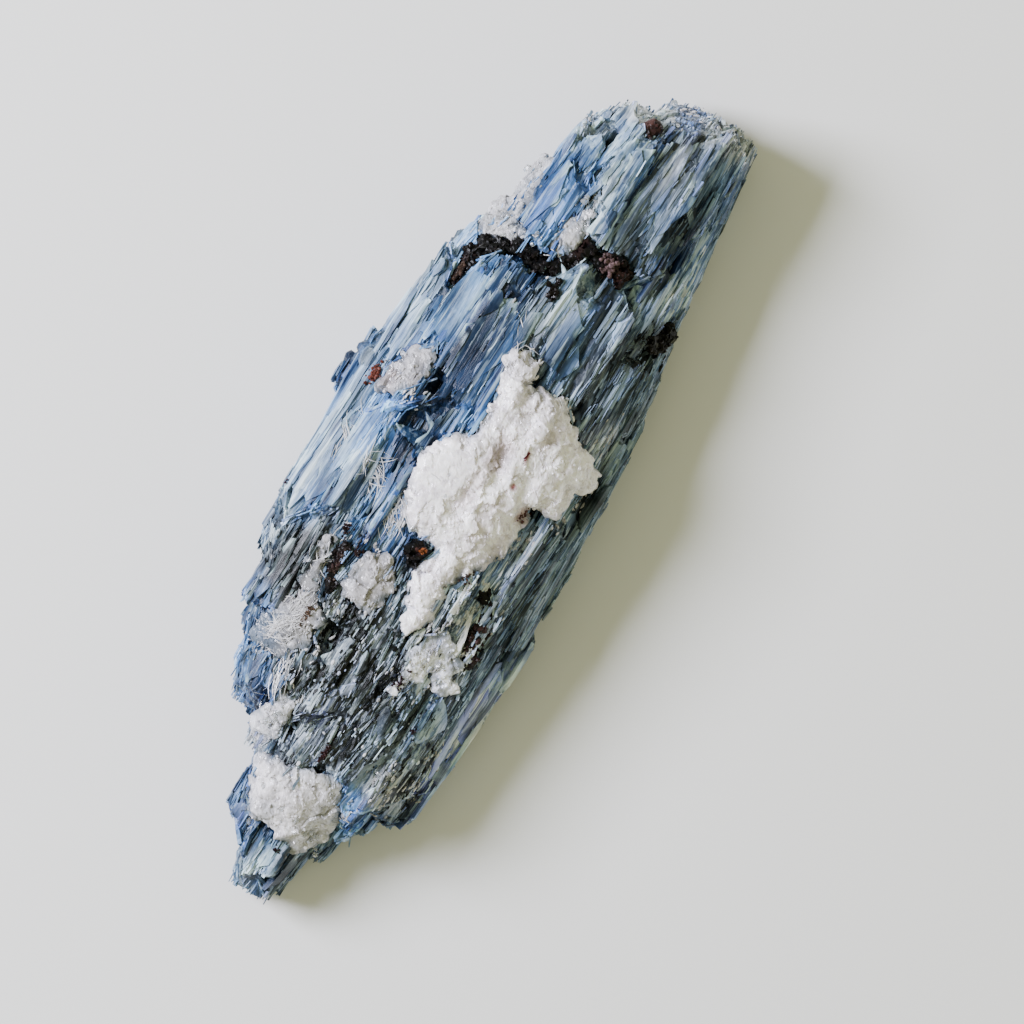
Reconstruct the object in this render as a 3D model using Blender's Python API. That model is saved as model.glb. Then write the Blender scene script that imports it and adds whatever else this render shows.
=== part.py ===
"""Kyanite blade cluster: a sheaf of intergrown kyanite blades, with masses of quartz and seams of garnet in it.

The blades run along +X, the foot of the sheaf is at -X, and +Z is up.  The sheaf lies on its flattened
underside, with the origin under the middle of its box.  Lengths at the top are real sizes in metres, written in
millimetres.
"""

import bisect
import math
import random

import bmesh
import bpy
from mathutils import Euler, Matrix, Vector
from mathutils.geometry import delaunay_2d_cdt

MM = 0.001

# ---- driving dimensions of the sheaf ---------------------------------------------------------------------

# Along X: the right (-Y) edge, the left (+Y) edge and the height of the ridge, all in millimetres.
STATIONS = (
    (-73.7, -9.0, -5.4, 7.5),
    (-70.5, -12.0, -4.2, 11.0),
    (-66.0, -13.0, -2.0, 13.0),
    (-61.5, -15.0, 2.2, 15.0),
    (-55.0, -17.3, 2.6, 17.5),
    (-51.5, -22.4, 3.8, 20.0),
    (-48.5, -25.0, 7.6, 22.0),
    (-45.5, -25.0, 12.2, 23.5),
    (-36.0, -25.0, 16.5, 25.0),
    (-27.5, -25.1, 18.2, 26.0),
    (-18.0, -24.6, 23.2, 27.0),
    (-3.0, -23.9, 22.6, 28.0),
    (12.0, -23.7, 22.3, 28.5),
    (21.0, -20.9, 20.9, 28.0),
    (33.0, -19.7, 20.8, 27.0),
    (41.0, -17.9, 15.6, 26.0),
    (52.0, -16.1, 14.4, 25.5),
    (61.0, -15.1, 12.8, 24.5),
    (65.5, -14.7, 8.4, 23.0),
    (70.0, -13.3, 3.2, 20.5),
    (73.9, -10.2, -4.6, 16.0),
)
# The cross-section, as shares of the width (from the right edge) and of the height, round from the underside.
SECTION = (
    (0.16, 0.00),
    (0.02, 0.16),
    (0.00, 0.34),
    (0.13, 0.70),
    (0.36, 0.90),
    (0.62, 1.00),
    (0.84, 0.93),
    (0.95, 0.77),
    (1.00, 0.52),
    (0.97, 0.20),
    (0.88, 0.00),
)
AXIS_Y = -8.5 * MM  # the line inside every cross-section that the lanes of blades fan out from
AXIS_Z = 5.0 * MM

# ---- driving dimensions of the blades --------------------------------------------------------------------

BLADE_SEED = 11
LANE_COUNT = 14  # lanes of blades round the sheaf, from underside to underside
NARROW_LANE = 2.6 * MM  # where lanes are narrower than this, every second one ends
BLADE_LENGTH = (28.0 * MM, 62.0 * MM)
BLADE_THICKNESS = (4.4 * MM, 5.2 * MM)
BLADE_OVERLAP = 1.2  # width of a blade over the width of its lane
BLADE_LIFT = (-1.1 * MM, 0.3 * MM)  # how far an outer face stands off the sheaf's surface
BLADE_ROLL = math.radians(8)
BLADE_YAW = math.radians(1.8)
MOST_PITCH = math.radians(8)
STEP_HEIGHT = 4.2 * MM  # a lane breaks into a new blade where the surface falls by this much
STEP_ACROSS = 2.6 * MM  # and on the two sides where it draws in by this much
END_SLANT = (0.25, 0.95)  # how far a broken end runs back across the blade, over its width
END_SLOPE = (0.10, 0.90)  # how far it runs out from the outer face to the inner one, over the thickness
MOST_SLANT = 0.30  # neither runs further than these shares of the length
MOST_SLOPE = 0.15
CORE_INSET = 3.4 * MM
CORE_SHARE = 0.5  # and never more than this share of the way to the axis
CORE_FOOT = 2.5 * MM  # how far the core stops short of the foot of the sheaf
CORE_HEAD = 3.0 * MM  # and of its head
CORE_FLOOR = 0.9 * MM
KEPT_TRIANGLES = 0.66  # share of the joined blades' triangles left once the slivers are dropped
STEP_LEAST = 4.0 * MM  # the shortest blade that such a step leaves
END_LEAST = 6.0 * MM  # a lane doesn't stop closer than this to the end of the sheaf
LEAST_START = 3.0 * MM  # and no blade starts closer than this to it
END_OVERLAP = (1.0 * MM, 4.0 * MM)  # how far a blade runs on under the next one
END_GAP = 0.2 * MM
LEAST_WIDTH = 2.6 * MM
LANE_PROBE = 2.0 * MM  # how far along a blade its lane's width is first read
WIDTH_SPREAD = (0.9, 1.15)
BEVEL_SHARE = (0.12, 0.30)  # width of the bevelled edge over the width of the blade
BEVEL_DEPTH = 0.8  # its depth over its own width
ROOT_SHARE = 0.42  # half the width of a blade's inner face over its whole width

UNDER_ROWS = (-15.5, -6.5, 2.5, 11.0)  # millimetres along Y, the blades along the underside
UNDER_WIDTH = 9.6 * MM
UNDER_LENGTH = (40.0 * MM, 70.0 * MM)
UNDER_LEAST = 8.0 * MM
UNDER_THICKNESS = 5.0 * MM
UNDER_SINK = 0.3 * MM  # how far their outer faces lie under the ground that cuts them flat
UNDER_SPACING = 0.92  # from one to the next, over their length
UNDER_REACH = 70  # millimetres along X, either way
UNDER_MARGIN = 1.0 * MM

# Slabs that stand out: first x, last x, y, width, thickness, lift over the surface, roll in degrees.
SLABS = {
    "head_slab": (40.6, 62.5, 10.3, 6.0, 4.0, 0.9, 10),
    "head_crest": (46.0, 67.0, 2.2, 3.6, 4.0, 0.6, 0),
    "head_side": (51.5, 72.0, -10.6, 5.2, 5.0, 0.7, -26),
    "head_flank": (44.5, 69.0, -5.4, 3.8, 4.0, 0.5, -18),
    "middle_crest": (6.0, 35.6, 7.9, 4.4, 4.0, 0.5, 4),
    "middle_slab": (8.0, 34.0, 3.4, 5.0, 4.0, 0.2, -6),
    "left_slab": (16.0, 36.0, 13.6, 4.0, 4.0, 0.8, 12),
    "edge_slab": (-16.0, 33.5, 18.6, 5.6, 4.0, 0.3, 26),
    "flank_slab": (23.0, 41.0, -8.8, 4.6, 4.0, 0.6, -18),
    "flank_rib": (-22.0, 9.0, -20.6, 4.0, 4.0, 0.6, -46),
    "waist_slab": (-36.0, -8.0, 15.4, 5.4, 4.0, 0.4, 16),
    "shoulder_slab": (-48.6, -30.0, 10.2, 6.0, 5.0, 0.4, 14),
    "heel_slab": (-50.0, -27.0, -12.2, 5.0, 4.0, 0.5, -14),
    "foot_slab": (-73.6, -58.0, -7.0, 6.4, 6.0, 0.4, 0),
    "foot_fin": (-65.4, -53.0, 0.9, 3.6, 5.0, 0.8, 22),
    "edge_knob": (2.2, 13.0, 22.3, 5.8, 5.0, 0.4, 24),
    "edge_bud": (7.0, 16.2, 21.6, 5.0, 5.0, 1.3, 28),
    "tip_slab": (56.0, 73.9, -6.4, 4.4, 5.0, 0.2, -8),
}

SLAB_PROBE = 3.0 * MM  # how far in from a slab's ends the surface under it is read

# Where the edge of the sheaf is broken back: from x, y to x, y, with the waste on the left of the way.
BREAKS = (
    (-74.2, -7.0, -68.0, -2.9),
    (-49.2, 5.6, -46.2, 12.4),
    (-46.6, 12.1, -33.5, 17.4),
    (-29.0, 18.2, -18.6, 23.0),
    (-47.5, -25.2, -56.0, -16.9),
    (67.4, 7.6, 73.5, -4.6),
)
BREAK_LEVEL = 9.0 * MM  # the height where it meets that line
BREAK_LEAN = math.radians(14)  # how far it leans inwards
BREAK_DEPTH = 9.0 * MM
BREAK_HEIGHT = 60.0 * MM

# ---- what else grows in the sheaf ------------------------------------------------------------------------

FIT_GAP = 0.35 * MM  # clear space between a mass and the pocket that it fills
POCKET_GAP = 1.3 * FIT_GAP  # and under it
POCKET_HEAD = 8.0 * MM  # how far a pocket's cutter reaches over the sheaf
LUMP_SEED = 5

# Shares of the size of a mass's grains.
OUTLINE_STEP = 1.25  # between the points that grains break the outline at
OUTLINE_PUSH = 0.14
ROW_SPACING = 0.87
GRAIN_JITTER = 0.3
GRAIN_MARGIN = 0.4  # the least distance from a grain's middle to the rim
GRAIN_RISE = 0.30
SWELL_RUN = 2.2  # from the rim to where the mass has its full height
RIM_RISE = 0.4  # share of a grain's rise that is left at the rim
RIM_DEPTH = 0.45  # depth at the rim over that in the middle

# The outline of each mass in millimetres, seen from above.
QUARTZ_HEART = (
    (1.0, 6.0), (4.4, 4.6), (6.8, 3.6), (8.6, 0.9), (12.5, 0.5), (17.0, 1.4), (20.5, 2.5), (23.2, 2.4),
    (24.9, 0.2), (23.0, -1.9), (20.0, -2.0), (19.3, -3.6), (20.8, -6.4), (20.9, -8.8), (18.0, -11.6),
    (16.4, -14.6), (14.4, -18.2), (12.0, -19.9), (9.6, -17.8), (4.2, -17.4), (4.2, -12.8), (-2.5, -13.4),
    (-8.0, -11.6), (-13.0, -9.0), (-19.5, -9.5), (-24.0, -8.1), (-24.0, -6.4), (-19.8, -5.4), (-17.2, -3.0),
    (-14.6, -3.4), (-9.6, -4.6), (-9.4, 1.6), (-5.0, 4.4),
)
QUARTZ_TAIL = (
    (-33.2, -9.4), (-29.8, -10.0), (-26.2, -9.1), (-22.6, -9.9), (-21.0, -11.6), (-22.4, -15.6), (-27.4, -18.4),
    (-29.4, -17.0), (-26.6, -13.4), (-29.8, -12.2), (-33.0, -11.2),
)
QUARTZ_WAIST = (
    (-37.6, 7.6), (-37.2, 13.6), (-33.0, 12.4), (-27.0, 11.8), (-21.0, 12.8), (-17.4, 11.8), (-17.0, 10.2),
    (-20.0, 10.4), (-26.4, 8.8), (-28.6, 5.4), (-34.0, 5.2),
)
QUARTZ_NEST = (
    (-24.0, -0.4), (-23.8, 4.2), (-19.6, 5.4), (-16.2, 4.8), (-15.2, 1.5), (-16.8, -0.9), (-20.0, -1.5),
)
QUARTZ_FOOT = (
    (-62.0, -2.4), (-59.2, 0.4), (-55.6, 2.0), (-52.4, 2.1), (-51.6, -3.0), (-50.0, -8.0), (-50.2, -11.0),
    (-54.4, -13.8), (-58.4, -13.6), (-63.2, -10.8), (-61.2, -5.2),
)
QUARTZ_HEEL = (
    (-51.8, 3.0), (-49.6, 6.0), (-46.0, 5.6), (-41.6, 4.6), (-43.0, 2.2), (-48.4, 1.4),
)
QUARTZ_PATCH = (
    (6.8, 17.6), (10.2, 18.0), (14.4, 16.4), (17.4, 13.4), (15.4, 12.2), (10.6, 12.4), (8.0, 14.8),
)
QUARTZ_NOTCH = (
    (40.6, 6.9), (44.6, 6.8), (46.4, 4.8), (52.0, 5.6), (50.0, 3.4), (45.6, 3.2), (42.4, 3.4), (40.4, 5.0),
)
QUARTZ_SHOULDER = (
    (36.9, 18.0), (41.6, 18.0), (43.0, 16.0), (47.0, 15.6), (50.0, 15.9), (52.4, 15.2), (52.0, 13.4), (44.6, 13.6),
    (41.0, 13.2), (40.2, 10.4), (39.4, 12.0), (37.4, 14.2),
)
# A seam follows a line across the blades: x, y and width at each of its points.
GARNET_SEAM = (
    (26.6, 16.5, 0.9), (29.6, 16.6, 2.0), (33.0, 16.2, 2.8), (35.4, 15.4, 3.2), (36.4, 13.4, 1.8), (37.6, 11.0, 3.0),
    (37.6, 9.0, 3.2), (37.0, 7.0, 2.6), (37.8, 4.4, 3.0), (40.2, 2.7, 2.2), (43.4, 1.6, 3.2), (42.6, -1.0, 3.2),
    (43.4, -3.6, 3.6), (42.2, -6.8, 3.4),
)
GARNET_STREAK = (
    (-23.4, -17.8, 1.6), (-20.0, -17.2, 2.2), (-16.0, -17.0, 2.0), (-13.0, -16.0, 1.6), (-11.6, -14.2, 1.4),
)
GARNET_STRIPE = ((-25.6, 6.9, 0.9), (-23.0, 7.6, 1.6), (-19.6, 8.5, 1.5), (-17.0, 8.2, 0.9))
GARNET_BLOTCH = ((35.0, -16.2), (36.2, -14.2), (38.4, -15.2), (40.2, -16.0), (39.6, -17.4), (36.4, -18.0))
GARNET_GRAIN = ((-14.2, -2.0), (-13.2, 0.2), (-11.6, 0.3), (-10.4, -1.6), (-10.8, -3.3), (-12.6, -3.2))
GARNET_SPECK = ((63.4, 2.4), (65.0, 4.4), (66.2, 3.2), (65.4, 2.0))

# For each mass: its outline or seam, how far its middle and its rim stand over the blades, depth, grain size.
MASSES = {
    "quartz_heart": (QUARTZ_HEART, 2.6, 0.5, 3.4, 2.3),
    "quartz_tail": (QUARTZ_TAIL, 1.5, 0.3, 2.6, 2.0),
    "quartz_waist": (QUARTZ_WAIST, 0.9, 0.0, 2.6, 2.3),
    "quartz_nest": (QUARTZ_NEST, 1.3, 0.2, 2.4, 2.0),
    "quartz_foot": (QUARTZ_FOOT, 2.2, 0.2, 3.2, 2.2),
    "quartz_heel": (QUARTZ_HEEL, 0.8, -0.2, 3.0, 1.9),
    "quartz_patch": (QUARTZ_PATCH, 1.1, 0.2, 2.2, 1.9),
    "quartz_notch": (QUARTZ_NOTCH, 0.7, -0.2, 2.4, 1.9),
    "quartz_shoulder": (QUARTZ_SHOULDER, 0.9, 0.0, 3.0, 2.0),
    "garnet_seam": (GARNET_SEAM, -0.1, -0.8, 2.6, 1.5),
    "garnet_streak": (GARNET_STREAK, 0.6, -0.1, 2.2, 1.3),
    "garnet_stripe": (GARNET_STRIPE, 0.9, 0.3, 1.8, 1.2),
    "garnet_blotch": (GARNET_BLOTCH, 0.3, -0.3, 2.2, 1.4),
    "garnet_grain": (GARNET_GRAIN, 1.8, 0.8, 2.2, 1.2),
    "garnet_speck": (GARNET_SPECK, 0.4, 0.0, 1.8, 1.2),
}

# In plan a pit is a lozenge: its corners as shares of the length and of the width.
PIT_PLAN = ((0.0, 0.0), (0.25, -0.5), (0.7, -0.42), (1.0, 0.0), (0.8, 0.5), (0.3, 0.42))
PIT_FLOOR = (0.8, 0.5)  # length and width of its floor over those of its mouth
PIT_HEAD = 6.0 * MM  # how far its cutter reaches over the sheaf
# Pits where blades have broken out: first x, last x, y, width, depth.
PITS = (
    (11.0, 23.6, 10.6, 1.7, 3.2),
    (43.6, 53.6, -11.6, 2.6, 3.2),
    (20.6, 26.0, -2.8, 1.5, 2.6),
    (19.4, 22.8, -10.7, 1.1, 2.4),
    (53.6, 60.0, 5.4, 0.9, 1.8),
    (-12.4, -9.2, 8.0, 1.1, 2.4),
    (-37.6, -31.6, -2.9, 1.2, 2.0),
)

KYANITE = ((0.17, 0.30, 0.50, 1.0), 0.42)
QUARTZ = ((0.80, 0.78, 0.76, 1.0), 0.38)
GARNET = ((0.060, 0.022, 0.020, 1.0), 0.30)


# ---- the surface of the sheaf ----------------------------------------------------------------------------


def section_at(x):
    """The cross-section at x, as (y, z) points in metres from the right underside over the top."""
    stations = [row[0] * MM for row in STATIONS]
    x = min(max(x, stations[0]), stations[-1])
    i = min(bisect.bisect_right(stations, x), len(stations) - 1)
    share = (x - stations[i - 1]) / (stations[i] - stations[i - 1])
    right, left, height = (
        (a + (b - a) * share) * MM for a, b in zip(STATIONS[i - 1][1:], STATIONS[i][1:])
    )
    return [Vector((right + (left - right) * across, height * up)) for across, up in SECTION]


def top_z(x, y):
    """Height of the sheaf's upper surface over the point (x, y)."""
    section = section_at(x)
    crown = section[2:9]
    if y <= crown[0].x:
        return crown[0].y
    for a, b in zip(crown, crown[1:]):
        if y <= b.x:
            return a.y + (b.y - a.y) * (y - a.x) / (b.x - a.x)
    return crown[-1].y


def reach(x, direction):
    """How far the cross-section at x reaches from the axis in a direction of the YZ plane."""
    start = Vector((AXIS_Y, AXIS_Z))
    section = section_at(x)
    for a, b in zip(section, section[1:] + section[:1]):
        side = b - a
        turn = direction.x * side.y - direction.y * side.x
        if abs(turn) < 1e-12:
            continue
        to_a = a - start
        along = (to_a.x * side.y - to_a.y * side.x) / turn
        share = (to_a.x * direction.y - to_a.y * direction.x) / turn
        if along > 0 and -1e-9 <= share <= 1 + 1e-9:
            return along
    return 0.0


# ---- blades ----------------------------------------------------------------------------------------------


def new_object(name, bm):
    mesh = bpy.data.meshes.new(name)
    bmesh.ops.recalc_face_normals(bm, faces=bm.faces)
    bm.to_mesh(mesh)
    bm.free()
    obj = bpy.data.objects.new(name, mesh)
    bpy.context.scene.collection.objects.link(obj)
    return obj


def blade(name, length, width, thickness, rng):
    """A flat crystal along X, its outer face in the plane Z = 0, with one edge bevelled and broken ends."""
    side = rng.choice((-1, 1))
    bevel = rng.uniform(*BEVEL_SHARE) * width
    profile = (
        (-0.50 * width, 0.0),
        (0.50 * width - bevel, 0.0),
        (0.50 * width, -BEVEL_DEPTH * bevel),
        (ROOT_SHARE * width, -thickness),
        (-ROOT_SHARE * width, -thickness),
    )
    bm = bmesh.new()
    rings = []
    for end in (-1, 1):
        slant = min(rng.uniform(*END_SLANT), MOST_SLANT * length / width) * rng.choice((-1, 1))
        slope = min(rng.uniform(*END_SLOPE), MOST_SLOPE * length / thickness)
        back = 0.5 * abs(slant) * width
        rings.append([
            bm.verts.new((end * (length / 2 - back - slope * (thickness + z)) + slant * y, side * y, z))
            for y, z in profile
        ])
    for i in range(len(profile)):
        j = (i + 1) % len(profile)
        bm.faces.new((rings[0][i], rings[0][j], rings[1][j], rings[1][i]))
    bm.faces.new(rings[0])
    bm.faces.new(rings[1])
    bmesh.ops.triangulate(bm, faces=bm.faces)
    return new_object(name, bm)


def helper(obj, collection):
    """Moves obj into a collection of shapes that others are joined from or cut by."""
    for other in list(obj.users_collection):
        other.objects.unlink(obj)
    collection.objects.link(obj)
    obj.hide_render = True
    obj.display_type = "WIRE"


def lane_directions():
    """The lanes' directions in the YZ plane, equally spaced round the middle cross-section."""
    section = section_at(0.0)
    lengths = [(b - a).length for a, b in zip(section, section[1:])]
    total = sum(lengths)
    directions = []
    for lane in range(LANE_COUNT):
        left = total * (lane + 0.5) / LANE_COUNT
        for (a, b), length in zip(zip(section, section[1:]), lengths):
            if left <= length:
                point = a.lerp(b, left / length)
                directions.append((point - Vector((AXIS_Y, AXIS_Z))).normalized())
                break
            left -= length
    return directions


def surface_point(x, direction):
    """Where a lane meets the sheaf's surface at x."""
    distance = reach(x, direction)
    return Vector((x, AXIS_Y + direction.x * distance, AXIS_Z + direction.y * distance))


def lane_blades(directions, lane, collection, rng):
    """Lays blades end to end along one lane, each one straight and stepping down where the sheaf narrows."""
    direction = directions[lane]
    beside = (directions[max(lane - 1, 0)], directions[min(lane + 1, len(directions) - 1)])
    lanes_between = 2 if 0 < lane < len(directions) - 1 else 1
    pitch_limit = math.tan(MOST_PITCH)
    step = STEP_ACROSS if abs(direction.x) > 0.8 else STEP_HEIGHT
    x, last = STATIONS[0][0] * MM, STATIONS[-1][0] * MM
    count = 0
    while x < last - LEAST_START:
        low, high = (surface_point(x + LANE_PROBE, d) for d in beside)
        if lane % 2 and (high - low).length / lanes_between < NARROW_LANE:
            x += MM
            continue
        wanted = rng.uniform(*BLADE_LENGTH)
        end = x
        while end + MM <= last and end - x < wanted:
            if abs(reach(end + MM, direction) - reach(x, direction)) > step and end - x > STEP_LEAST:
                break
            end += MM
        if last - end < END_LEAST:
            end = last
        middle = (x + end) / 2
        rise = surface_point(end, direction) - surface_point(x, direction)
        climb = (max(-pitch_limit, min(pitch_limit, v / rise.x)) for v in rise.yz)
        along = Vector((1.0, *climb)).normalized()
        low, high = (surface_point(middle, d) for d in beside)
        across = high - low
        width = across.length / lanes_between * BLADE_OVERLAP * rng.uniform(*WIDTH_SPREAD)
        across = (across - along * across.dot(along)).normalized()
        outward = along.cross(across)
        if outward.y * direction.x + outward.z * direction.y < 0:
            outward, across = -outward, -across
        start = x - rng.uniform(*END_OVERLAP) if count else x
        stop = min(end + rng.uniform(*END_OVERLAP), last)
        thickness = rng.uniform(*BLADE_THICKNESS)
        shape = blade(f"blade_{lane:02d}_{count}", stop - start, max(width, LEAST_WIDTH), thickness, rng)
        turn = Euler((rng.gauss(0, BLADE_ROLL), 0, rng.gauss(0, BLADE_YAW))).to_matrix().to_4x4()
        place = Matrix((along, across, outward)).transposed().to_4x4()
        centre = surface_point(middle, direction) + outward * rng.uniform(*BLADE_LIFT)
        centre.x = (start + stop) / 2
        shape.matrix_world = Matrix.Translation(centre) @ place @ turn
        helper(shape, collection)
        count += 1
        x = end + END_GAP


def under_blades(collection, rng):
    """Blades that lie along the underside, where the ground cuts them flat."""
    half = UNDER_WIDTH / 2
    for row, y in enumerate(UNDER_ROWS):
        along = [x * MM for x in range(-UNDER_REACH, UNDER_REACH + 1)]
        free = [x for x in along if underside_spans(x, y * MM - half, y * MM + half)]
        x, last = free[0], free[-1]
        while x < last - UNDER_LEAST:
            length = min(rng.uniform(*UNDER_LENGTH), last - x)
            shape = blade(f"under_{row}_{round(x / MM)}", length, UNDER_WIDTH, UNDER_THICKNESS, rng)
            turn = Euler((math.pi + rng.gauss(0, 0.03), 0, rng.gauss(0, 0.02))).to_matrix().to_4x4()
            shape.matrix_world = Matrix.Translation((x + length / 2, y * MM, -UNDER_SINK)) @ turn
            helper(shape, collection)
            x += length * UNDER_SPACING


def underside_spans(x, low, high):
    """Whether the underside at x is wide enough for a blade from low to high along Y."""
    section = section_at(x)
    return section[0].x - UNDER_MARGIN < low and high < section[-1].x + UNDER_MARGIN


def slab(name, row, collection, rng):
    """One of the slabs that stand out, laid on the sheaf's upper surface."""
    first, last, y, width, thickness, lift = (value * MM for value in row[:-1])
    roll = math.radians(row[-1])
    middle = (first + last) / 2
    rise = top_z(last - SLAB_PROBE, y) - top_z(first + SLAB_PROBE, y)
    pitch = -math.atan(rise / (last - first - 2 * SLAB_PROBE))
    shape = blade(name, last - first, width, thickness, rng)
    turn = Euler((-roll, max(-MOST_PITCH, min(MOST_PITCH, pitch)), 0)).to_matrix().to_4x4()
    shape.matrix_world = Matrix.Translation((middle, y, top_z(middle, y) + lift)) @ turn
    helper(shape, collection)


def core():
    """The inside of the sheaf, lofted through the stations a little under the surface."""
    bm = bmesh.new()
    centre = Vector((AXIS_Y, AXIS_Z))
    rings = []
    for row in STATIONS:
        x = row[0] * MM
        ring = []
        for point in section_at(x):
            inward = centre - point
            inset = min(CORE_INSET, CORE_SHARE * inward.length)
            ring.append(point + inward.normalized() * inset)
        at = min(max(x, STATIONS[0][0] * MM + CORE_FOOT), STATIONS[-1][0] * MM - CORE_HEAD)
        rings.append([bm.verts.new((at, p.x, max(p.y, CORE_FLOOR))) for p in ring])
    for a, b in zip(rings, rings[1:]):
        for i in range(len(SECTION)):
            j = (i + 1) % len(SECTION)
            bm.faces.new((a[i], a[j], b[j], b[i]))
    bm.faces.new(rings[0])
    bm.faces.new(rings[-1])
    bmesh.ops.triangulate(bm, faces=bm.faces)
    return new_object("kyanite_blades", bm)


# ---- quartz and garnet -----------------------------------------------------------------------------------


def outline_of(points):
    """The closed outline of a mass in metres.  A seam, which has widths, becomes a band along its line."""
    if len(points[0]) == 2:
        outline = [Vector(p) * MM for p in points]
    else:
        line = [Vector(p[:2]) for p in points]
        left, right = [], []
        for i, (x, y, width) in enumerate(points):
            along = (line[min(i + 1, len(line) - 1)] - line[max(i - 1, 0)]).normalized()
            side = Vector((-along.y, along.x)) * width / 2
            left.append((Vector((x, y)) + side) * MM)
            right.append((Vector((x, y)) - side) * MM)
        outline = left + right[::-1]
    area = sum(a.x * b.y - b.x * a.y for a, b in zip(outline, outline[1:] + outline[:1]))
    return outline if area > 0 else outline[::-1]


def edge_distance(point, outline):
    """Distance from a point to the nearest side of an outline."""
    nearest = math.inf
    for a, b in zip(outline, outline[1:] + outline[:1]):
        side = b - a
        share = max(0.0, min(1.0, (point - a).dot(side) / side.length_squared))
        nearest = min(nearest, (a + side * share - point).length)
    return nearest


def is_inside(point, outline):
    """Whether a point lies within an outline."""
    found = False
    for a, b in zip(outline, outline[1:] + outline[:1]):
        if (a.y > point.y) != (b.y > point.y):
            if point.x < a.x + (b.x - a.x) * (point.y - a.y) / (b.y - a.y):
                found = not found
    return found


def grown(outline, by):
    """The outline with every corner moved outwards, for a pocket a little larger than its mass."""
    result = []
    count = len(outline)
    for i, point in enumerate(outline):
        before = (point - outline[i - 1]).normalized()
        after = (outline[(i + 1) % count] - point).normalized()
        out = Vector((before.y + after.y, -before.x - after.x))
        share = max(0.35, out.length / 2)
        result.append(point + out.normalized() * by / share)
    return result


def rough_outline(outline, grain, rng):
    """The outline with each long side broken by points pushed in and out, as grains break it."""
    result = []
    for a, b in zip(outline, outline[1:] + outline[:1]):
        side = b - a
        pieces = max(1, round(side.length / (OUTLINE_STEP * grain)))
        normal = Vector((side.y, -side.x)).normalized()
        for k in range(pieces):
            push = rng.uniform(-OUTLINE_PUSH, OUTLINE_PUSH) * grain if k else 0.0
            result.append(a + side * (k / pieces) + normal * push)
    return result


def closed_lump(name, outline, inner, top, bottom):
    """A closed solid over an outline: its top and its bottom share one plan of triangles."""
    points = outline + inner
    edges = [(i, (i + 1) % len(outline)) for i in range(len(outline))]
    plan, _, faces, *_ = delaunay_2d_cdt(points, edges, [list(range(len(outline)))], 1, 1e-7)
    bm = bmesh.new()
    upper = [bm.verts.new((p.x, p.y, top(p))) for p in plan]
    lower = [bm.verts.new((p.x, p.y, bottom(p))) for p in plan]
    sides = {}
    for face in faces:
        bm.faces.new([upper[i] for i in face])
        bm.faces.new([lower[i] for i in reversed(face)])
        for i, j in zip(face, face[1:] + face[:1]):
            sides[i, j] = True
    for i, j in sides:
        if (j, i) not in sides:
            bm.faces.new((upper[j], upper[i], lower[i], lower[j]))
    bmesh.ops.triangulate(bm, faces=bm.faces)
    return new_object(name, bm)


def grain_points(outline, grain, rng):
    """Loosely spaced points inside an outline, one for each grain of the mass."""
    low = Vector((min(p.x for p in outline), min(p.y for p in outline)))
    high = Vector((max(p.x for p in outline), max(p.y for p in outline)))
    found = []
    rows = int((high.y - low.y) / (grain * ROW_SPACING)) + 1
    columns = int((high.x - low.x) / grain) + 1
    for row in range(rows):
        for column in range(columns):
            jitter = Vector([rng.uniform(-GRAIN_JITTER, GRAIN_JITTER) for _ in range(2)])
            point = low + (Vector((column + 0.5 * (row % 2), row * ROW_SPACING)) + jitter) * grain
            if is_inside(point, outline) and edge_distance(point, outline) > GRAIN_MARGIN * grain:
                found.append(point)
    return found


def mass(name, row, pockets, rng):
    """A mass of grains set in the blades, and the pocket that it fills."""
    points, lift, rim, depth, grain = row
    lift, rim, depth, grain = lift * MM, rim * MM, depth * MM, grain * MM
    plain = outline_of(points)
    outline = rough_outline(plain, grain, rng)
    inner = grain_points(outline, grain, rng)
    heights = {}

    def swell(point):
        return min(1.0, edge_distance(point, plain) / (SWELL_RUN * grain))

    def top(point):
        key = (round(point.x, 6), round(point.y, 6))
        if key not in heights:
            heights[key] = rng.uniform(-GRAIN_RISE, GRAIN_RISE) * grain
        share = swell(point)
        swollen = rim + (lift - rim) * math.sqrt(share)
        return top_z(point.x, point.y) + swollen + heights[key] * (RIM_RISE + (1 - RIM_RISE) * share)

    def bottom(point):
        return top_z(point.x, point.y) + rim - depth * (RIM_DEPTH + (1 - RIM_DEPTH) * swell(point))

    obj = closed_lump(name, outline, inner, top, bottom)
    pocket = closed_lump(
        f"{name}_pocket",
        grown(outline, FIT_GAP),
        inner,
        lambda p: top_z(p.x, p.y) + POCKET_HEAD,
        lambda p: bottom(p) - POCKET_GAP,
    )
    helper(pocket, pockets)
    return obj


def pit(index, row, pockets):
    """A slot between blades, pointed at both ends and narrowing downwards."""
    first, last, y, width, depth = (value * MM for value in row)
    middle = (first + last) / 2
    floor = top_z(middle, y) - depth
    long, wide = PIT_FLOOR
    low, high = [], []
    bm = bmesh.new()
    for along, across in PIT_PLAN:
        x = first + along * (last - first)
        low.append(bm.verts.new((middle + (x - middle) * long, y + across * width * wide, floor)))
        high.append(bm.verts.new((x, y + across * width, floor + depth + PIT_HEAD)))
    bm.faces.new(low)
    bm.faces.new(high)
    for i in range(len(PIT_PLAN)):
        j = (i + 1) % len(PIT_PLAN)
        bm.faces.new((low[i], low[j], high[j], high[i]))
    bmesh.ops.triangulate(bm, faces=bm.faces)
    helper(new_object(f"pit_{index}", bm), pockets)


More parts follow.
